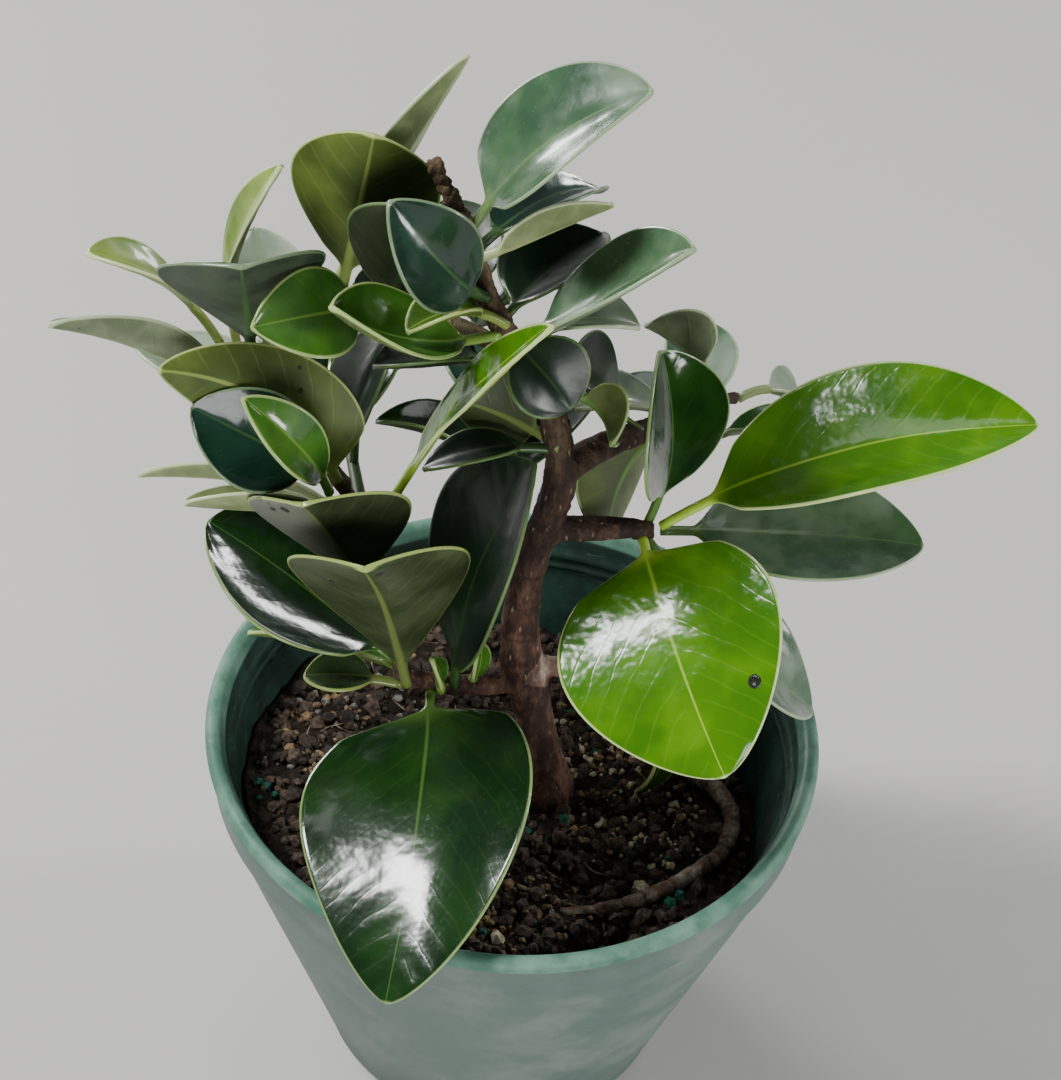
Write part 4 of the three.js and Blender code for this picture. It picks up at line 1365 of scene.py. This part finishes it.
def grain_shape() -> tuple[np.ndarray, list[list[int]]]:
    """Corners and faces of a ball with twenty sides, which the grains start from.

    Returns:
        Its corners, 1 from its middle, and the corners of each face.
    """
    golden = (1 + 5 ** 0.5) / 2
    corners = [(-1, golden, 0), (1, golden, 0), (-1, -golden, 0), (1, -golden, 0),
               (0, -1, golden), (0, 1, golden), (0, -1, -golden), (0, 1, -golden),
               (golden, 0, -1), (golden, 0, 1), (-golden, 0, -1), (-golden, 0, 1)]
    faces = [[0, 11, 5], [0, 5, 1], [0, 1, 7], [0, 7, 10], [0, 10, 11],
             [1, 5, 9], [5, 11, 4], [11, 10, 2], [10, 7, 6], [7, 1, 8],
             [3, 9, 4], [3, 4, 2], [3, 2, 6], [3, 6, 8], [3, 8, 9],
             [4, 9, 5], [2, 4, 11], [6, 2, 10], [8, 6, 7], [9, 8, 1]]
    return np.array(corners) / math.hypot(1, golden), faces


GRAIN_CORNERS, GRAIN_FACES = grain_shape()


@dataclass(frozen=True)
class RootletFinish:
    """Dry pale root skin."""

    colour: str = "#5f4c3a"
    light: str = "#a8957a"

    def material(self) -> bpy.types.Material:
        """Matte, in light and darker stretches.

        Returns:
            The finished material.
        """
        paint = Paint("rootlet")
        colour = paint.mix(paint.step(paint.grain(3 * MM), 0.4, 0.6), tone(self.colour), tone(self.light))
        return paint.surface(Base_Color=colour, Roughness=0.8)


@dataclass
class Soil:
    """The potting mix in the pot and the loose grains on it. Lengths in millimetres."""

    finish: SoilFinish = field(default_factory=SoilFinish)
    rootlet_finish: RootletFinish = field(default_factory=RootletFinish)
    drop: float = 20
    fall_x: float = 0.1
    fall_y: float = 0.07
    swell: float = 0.7
    edge: float = 45
    gap: float = 0.3
    rings: int = 84
    sides: int = 180
    crumb: float = 0.9
    wall_steps: tuple[float, ...] = (0.35, 0.7, 1.0)
    root_radius: float = 0.9
    grain_reach: float = 46.5
    pebbles: tuple[tuple[Point, float], ...] = (((0.3, -36.5, 61), 2), ((25, -19.2, 56.8), 1.7))
    pebble_slot: int = 2
    rootlet_reach: float = 46
    rootlet_spread: float = 38
    rootlet_count: int = 60
    rootlet_points: int = 14
    splinters: tuple[tuple[tuple[float, float], tuple[float, float], float], ...] = (
        ((2.8, -22.9), (17.5, -27.9), 0.5), ((-47, 17), (-32, 18), 0.5))

    def height(self, x: float, y: float) -> float:
        """Height of the soil's face, without its crumbs."""
        swell = math.sin(0.31 * x + 1.3) * math.cos(0.27 * y - 0.6) + 0.6 * math.sin(0.19 * (x - 2 * y))
        return Pot.height - self.drop - self.fall_x * x - self.fall_y * y + self.swell * swell

    def face(self, x: float, y: float) -> float:
        """Height of the soil's face with its crumbs."""
        lumps = noise.fractal(Vector((x * 0.16, y * 0.16, 3.0)), 0.7, 2.0, 5)
        return self.height(x, y) + self.crumb * lumps - 0.15

    def build(self) -> list[bpy.types.Object]:
        """Makes the soil and its loose grains.

        Returns:
            The soil, its grains and its rootlets.
        """
        turns = [2 * math.pi * j / self.sides for j in range(self.sides)]
        around = [(math.sin(turn), math.cos(turn)) for turn in turns]
        points = []
        for ring in range(1, self.rings + 1):
            for x, y in around:
                full = Pot.inner_radius(self.height(self.edge * x, self.edge * y)) - self.gap
                reach = ring / self.rings * full
                points.append((reach * x, reach * y, self.face(reach * x, reach * y)))
        foot = Pot.floor + self.gap
        for part in self.wall_steps:
            for x, y in around:
                z = blend(self.height(self.edge * x, self.edge * y) - 0.6, foot, part)
                reach = Pot.inner_radius(z) - self.gap
                points.append((reach * x, reach * y, z))
        points += [(0, 0, self.face(0, 0)), (0, 0, foot)]
        faces = shell(self.rings + len(self.wall_steps), self.sides)
        soil = put_mesh("soil_fine", np.array(points), faces, [self.finish.material()])
        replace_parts(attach(soil, "root"), "soil")
        return [soil, self.scatter(), self.lay_rootlets()]

    def scatter(self) -> bpy.types.Object:
        """Makes the loose grains and pebbles as one mesh.

        Returns:
            The piece, on its body.
        """
        chance = random.Random(11)
        root = LIMBS[-1].centres()[:, :2]
        heap = Heap()
        for slot, grit in enumerate(GRITS):
            for _ in range(grit.count):
                middle_x, middle_y, spread = chance.choice(grit.patches)
                turn, reach = chance.uniform(0, 2 * math.pi), spread * math.sqrt(chance.random()) * 1.4
                x, y = middle_x + reach * math.cos(turn), middle_y + reach * math.sin(turn)
                size = blend(*grit.size, chance.random() ** 1.6) / 2
                clear = np.min(np.linalg.norm(root - (x, y), axis=1)) > self.root_radius + size
                if math.hypot(x, y) < self.grain_reach and clear:
                    self.add_grain(heap, (x, y, self.face(x, y) + 0.3 * size), size, chance, slot)
        for spot, size in self.pebbles:
            self.add_grain(heap, spot, size, chance, self.pebble_slot)
        grit_object = heap.put("soil_grit", [grit.material() for grit in GRITS], False)
        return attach(grit_object, "root")

    @staticmethod
    def add_grain(heap: Heap, spot: Point, size: float, chance: random.Random, slot: int) -> None:
        """Adds one knobbly grain of about that radius to a heap.

        Args:
            heap: Where its points and faces go.
            spot: Its middle.
            size: Its radius.
            chance: Where its random draws come from.
            slot: Which material it takes.
        """
        corners = GRAIN_CORNERS * np.array([size * chance.uniform(0.7, 1.3) for _ in range(3)])
        corners = corners * (1 + 0.22 * np.array([[chance.uniform(-1, 1)] for _ in corners]))
        turn = Quaternion((chance.random(), chance.random(), chance.random(), 1)).normalized()
        turned = corners @ np.array(turn.to_matrix()).T
        heap.add(turned + np.array(spot), GRAIN_FACES, [slot] * len(GRAIN_FACES))

    def lay_rootlets(self) -> bpy.types.Object:
        """Makes the fine pale roots and splinters that lie on the soil.

        Returns:
            The piece, on its body.
        """
        chance = random.Random(5)
        ends = list(self.splinters)
        spread = self.rootlet_spread
        for _ in range(self.rootlet_count):
            x, y = chance.uniform(-spread, spread), chance.uniform(-spread, spread)
            turn, length = chance.uniform(0, 2 * math.pi), chance.uniform(3, 9)
            ends.append(((x, y), (x + length * math.cos(turn), y + length * math.sin(turn)),
                         chance.uniform(0.1, 0.22)))
        heap = Heap()
        for (x0, y0), (x1, y1), radius in ends:
            bend = chance.uniform(-1.2, 1.2)
            line = []
            for part in (0, 0.33, 0.66, 1):
                x = blend(x0, x1, part) + bend * math.sin(3 * part)
                y = blend(y0, y1, part) + bend * math.sin(2.2 * part)
                line.append((x, y, self.face(x, y) + radius * 0.7))
            if all(math.hypot(x, y) < self.rootlet_reach for x, y, _ in line):
                centres = smooth_line(line, self.rootlet_points)
                points, faces = tube(centres, np.linspace(radius, radius * 0.5, self.rootlet_points), 6)
                heap.add(points, faces, [0] * len(faces))
        rootlets = heap.put("soil_rootlets", [self.rootlet_finish.material()])
        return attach(rootlets, "root")


# Pot


@dataclass(frozen=True)
class PotFinish:
    """Matt moulded plastic, dusty outside, and painted darker within as painted shade in the pot's hollow."""

    outside: str = "#51645d"
    dust: str = "#6b7671"
    lip: str = "#3d6955"
    lip_light: str = "#648b79"
    # Dark greens of the inner wall: painted shade, far darker than the plastic outside.
    inside: str = "#0e2820"
    inside_light: str = "#1f4337"
    scuff: str = "#aab1a9"

    @staticmethod
    def middle_of_wall(paint: Paint, z: Socket) -> Socket:
        """Radius of the middle of the wall at a height, which parts the outside from the inside.

        Args:
            paint: The material that it is worked out in.
            z: The height.

        Returns:
            The radius in metres.
        """
        collar_foot = (Pot.height - Pot.collar_height) * MM
        foot, top = Pot.foot_radius - 0.5, Pot.lip_radius - Pot.lip_width
        below = paint.node("ShaderNodeMapRange", {}, {"Value": z, "From Min": 0.0, "From Max": collar_foot,
                                                      "To Min": foot * MM, "To Max": (top - 0.4) * MM})
        above = paint.node("ShaderNodeMapRange", {}, {"Value": z, "From Min": collar_foot,
                                                      "From Max": Pot.height * MM,
                                                      "To Min": 0.0, "To Max": MM})
        return below + above

    def material(self) -> bpy.types.Material:
        """The plastic, coloured by where on the pot it is.

        Returns:
            The finished material.
        """
        paint = Paint("pot_plastic")
        place = paint.place()
        x, y, z = [paint.node("ShaderNodeSeparateXYZ", {}, {"Vector": place}, name) for name in "XYZ"]
        reach = (x * x + y * y) ** 0.5
        inward = 1 - paint.step(reach - self.middle_of_wall(paint, z), -0.5 * MM, 0.5 * MM)
        dusty = paint.step(paint.grain(16 * MM, 5.0, 0.65), 0.38, 0.68)
        colour = paint.mix(dusty, tone(self.outside), tone(self.dust))
        cloud = paint.step(paint.grain(9 * MM, 3.0), 0.4, 0.7)
        # Painted shade: the inner wall takes the dark inside greens instead of the plastic's own colour.
        colour = paint.mix(inward, colour, paint.mix(cloud, tone(self.inside), tone(self.inside_light)))
        lip = paint.step(z, 74.9 * MM, 75.7 * MM)
        lip_cloud = paint.step(paint.grain(7 * MM, 4.0, 0.6), 0.35, 0.7)
        colour = paint.mix(lip, colour, paint.mix(lip_cloud, tone(self.lip), tone(self.lip_light)))
        scratch = paint.node("ShaderNodeMapping", {}, {"Vector": place, "Scale": (1, 1, 6)},
                             0, Carries.VECTOR)
        scuffs = paint.step(paint.grain(5 * MM, 6.0, 0.75, scratch), 0.6, 0.72)
        colour = paint.mix(scuffs * 0.45, colour, tone(self.scuff))
        fine = paint.grain(0.35 * MM, 2.0)
        relief = paint.bump(fine * 0.4 + scuffs * 0.6, 0.12 * MM)
        return paint.surface(Base_Color=colour, Roughness=0.5 + dusty * 0.2 + scuffs * 0.1, Normal=relief,
                             Specular_IOR_Level=0.4)


@dataclass
class Pot:
    """The round moulded pot. Lengths in millimetres."""

    finish: PotFinish = field(default_factory=PotFinish)
    lip_radius: float = 55.0
    height: float = 78.0
    foot_radius: float = 33.0
    wall: float = 1.8
    floor: float = 2.2
    foot_rounding: float = 0.9
    lip_width: float = 3.0
    lip_height: float = 3.4
    lip_overhang: float = 1.3
    collar_height: float = 11.0
    ledge: float = 2.2
    ridges: tuple[tuple[float, float], ...] = ((68.6, 0.3), (71.0, 0.6))
    drain_holes: int = 4
    drain_ring: float = 20.0
    drain_radius: float = 4.0
    drain_sides: int = 32
    sides: int = 192

    @classmethod
    def inner_radius(cls, z: float) -> float:
        """Radius of the inner wall at a height.

        Args:
            z: The height above the foot.

        Returns:
            The radius.
        """
        collar_foot = cls.height - cls.collar_height
        top = cls.lip_radius - cls.lip_width
        if z > collar_foot:
            return blend(top - cls.ledge, top, (z - collar_foot) / cls.collar_height)
        return blend(cls.foot_radius - cls.wall, top - cls.ledge, (z - cls.floor) / (collar_foot - cls.floor))

    def outline(self) -> list[tuple[float, float]]:
        """Radius and height of the section, from the middle of the floor inside to the middle below.

        Returns:
            Radius and height of each corner.
        """
        collar_foot = self.height - self.collar_height
        collar = self.lip_radius - self.lip_overhang
        line = [(0, self.floor), (12, self.floor), (26, self.floor)]
        line.append((self.inner_radius(self.floor) - 1, self.floor))
        line.append((self.inner_radius(self.floor + 1), self.floor + 1))
        line += [(self.inner_radius(z), z) for z in (15, 30, 45, 58, 64, collar_foot - 0.6)]
        line.append((self.inner_radius(collar_foot) - 0.1, collar_foot))
        for z, size in self.ridges:
            line += [(self.inner_radius(z - size), z - size), (self.inner_radius(z) - size, z),
                     (self.inner_radius(z + size), z + size)]
        line += [(self.inner_radius(z), z) for z in (73.5, 75.5)]
        half_height, half_width = 0.5 * self.lip_height, 0.5 * self.lip_width
        middle_z, middle_r = self.height - half_height, self.lip_radius - half_width
        for k in range(13):
            turn = math.radians(165 - 19.5 * k)
            line.append((middle_r + half_width * math.cos(turn), middle_z + half_height * math.sin(turn)))
        line += [(collar, collar_foot + 3), (collar, collar_foot + 0.9), (collar - 0.3, collar_foot + 0.2)]
        line += [(collar - 1, collar_foot - 0.4), (collar - 1.25, collar_foot - 1.6)]
        line += [(blend(self.foot_radius + 0.4, collar - 1.2, part), blend(3, collar_foot - 2, part))
                 for part in (0.8, 0.6, 0.4, 0.2, 0)]
        line += [(self.foot_radius + 0.1, 1.6), (self.foot_radius - 0.4, self.foot_rounding),
                 (self.foot_radius - 1, 0.3), (self.foot_radius - 2 * self.foot_rounding, 0), (12, 0), (0, 0)]
        return line

    def build(self) -> bpy.types.Object:
        """Makes the shell by turning its section, then drills the floor.

        Returns:
            The piece, on its body.
        """
        line = self.outline()[1:-1]
        n = self.sides
        points = [(r * math.cos(2 * math.pi * j / n), r * math.sin(2 * math.pi * j / n), z)
                  for r, z in line for j in range(n)]
        points += [(0, 0, self.floor), (0, 0, 0)]
        pot = put_mesh("pot_fine", np.array(points), shell(len(line), n), [self.finish.material()])
        self.drill(pot)
        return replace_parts(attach(pot, "root"), "pot")

    def drill(self, pot: bpy.types.Object) -> None:
        """Cuts the drain holes through the floor.

        Args:
            pot: The pot, which is changed.
        """
        heap = Heap()
        for i in range(self.drain_holes):
            turn = (i + 0.5) / self.drain_holes * 2 * math.pi
            x, y = self.drain_ring * math.cos(turn), self.drain_ring * math.sin(turn)
            centres = np.array([(x, y, z) for z in (-4.0, 0.0, 7.0)])
            points, faces = tube(centres, np.full(3, self.drain_radius), self.drain_sides)
            heap.add(points, faces, [0] * len(faces))
        drills = heap.put("drills", [])
        cut = pot.modifiers.new("drains", "BOOLEAN")
        cut.object = drills
        cut.operation = "DIFFERENCE"
        cut.solver = "EXACT"
        drilled = bpy.data.meshes.new_from_object(pot.evaluated_get(bpy.context.evaluated_depsgraph_get()))
        pot.modifiers.clear()
        pot.data = drilled
        bpy.data.objects.remove(drills)


# Studio


@dataclass(frozen=True)
class Softbox:
    """An area light: its place and what it looks at in mm, its size in metres and its power in watts."""

    name: str
    place: Point
    aim: Point
    size: tuple[float, float]
    power: float


SOFTBOXES = (
    Softbox("window", (-650, -45, 990), (20, 0, 110), (0.15, 0.42), 15),
    Softbox("back_left_window", (-750, 830, 330), (0, 0, 150), (0.36, 0.24), 8),
    Softbox("back_right_window", (420, 1035, 340), (0, 0, 130), (0.14, 0.1), 1.2),
    Softbox("ceiling", (-170, 400, 1080), (0, 0, 110), (0.6, 0.45), 2.2),
    Softbox("right_window", (950, 250, 520), (0, 0, 130), (0.25, 0.25), 5),
    Softbox("low_right_window", (900, -280, 110), (0, 0, 150), (0.2, 0.15), 2.5),
    Softbox("front", (120, -950, 190), (0, 0, 60), (0.6, 0.5), 8),
)


@dataclass(frozen=True)
class FloorFinish:
    """Plain pale floor paint."""

    colour: str = "#b9b8b4"
    light: str = "#c0beba"

    def material(self) -> bpy.types.Material:
        """Matte, and a little cloudy.

        Returns:
            The finished material.
        """
        paint = Paint("studio_floor")
        colour = paint.mix(paint.grain(0.2), tone(self.colour), tone(self.light))
        return paint.surface(Base_Color=colour, Roughness=0.8)


@dataclass
class Studio:
    """Floor, light and the photograph's point of view. Lengths in millimetres."""

    target: Point = (0.4, 0.0, 122.2)
    distance: float = 450.0
    elevation: float = 43.5
    roll: float = 4.58
    lens: float = 89.43
    sensor: float = 36.0
    sky: Colour = (0.86, 0.92, 1.0)
    sky_light: float = 0.14
    floor: float = 4000.0
    floor_finish: FloorFinish = field(default_factory=FloorFinish)

    def build(self) -> None:
        """Sets up the floor, the world, the softboxes and the camera."""
        half = self.floor / 2
        points = np.array([(-half, -half, 0), (half, -half, 0), (half, half, 0), (-half, half, 0)])
        put_mesh("studio_floor", points, [[0, 1, 2, 3]], [self.floor_finish.material()])
        world = bpy.data.worlds.new("studio")
        world.use_nodes = True
        background = world.node_tree.nodes["Background"]
        background.inputs["Color"].default_value = (*self.sky, 1.0)
        background.inputs["Strength"].default_value = self.sky_light
        bpy.context.scene.world = world
        for box in SOFTBOXES:
            self.add_light(box)
        self.add_camera()

    @staticmethod
    def add_light(box: Softbox) -> None:
        """Adds one softbox, turned to what it looks at.

        Args:
            box: The softbox.
        """
        light = bpy.data.lights.new(box.name, "AREA")
        light.shape = "RECTANGLE"
        light.size, light.size_y = box.size
        light.energy = box.power
        stand = bpy.data.objects.new(box.name, light)
        stand.location = Vector(box.place) * MM
        stand.rotation_euler = (Vector(box.aim) - Vector(box.place)).to_track_quat("-Z", "Y").to_euler()
        bpy.context.scene.collection.objects.link(stand)

    def add_camera(self) -> None:
        """Adds the camera at the photograph's point of view."""
        lift = math.radians(self.elevation)
        back = Vector((0, -math.cos(lift), math.sin(lift)))
        right = Vector((1, 0, 0))
        up = back.cross(right)
        turn = math.radians(self.roll)
        across = right * math.cos(turn) + up * math.sin(turn)
        upright = up * math.cos(turn) - right * math.sin(turn)
        camera = bpy.data.cameras.new("camera")
        camera.lens = self.lens
        camera.sensor_fit = "VERTICAL"
        camera.sensor_height = self.sensor
        camera.clip_start = 0.01
        stand = bpy.data.objects.new("camera", camera)
        turned = Matrix((across, upright, back)).transposed().to_4x4()
        stand.matrix_world = Matrix.Translation((Vector(self.target) + back * self.distance) * MM) @ turned
        bpy.context.scene.collection.objects.link(stand)
        bpy.context.scene.camera = stand


def main() -> None:
    """Builds the pot, the soil, the wood, the leaves and the studio, and logs how many faces each piece has.
    """
    logging.basicConfig(level=logging.INFO, format="%(message)s")
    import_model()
    pieces = [Pot().build(), *Soil().build(), Wood().build(), *Foliage(fine=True).build()]
    for piece in pieces:
        LOG.info("%s: %d faces", piece.name, len(piece.data.polygons))
    Studio().build()


if __name__ == "__main__":
    main()
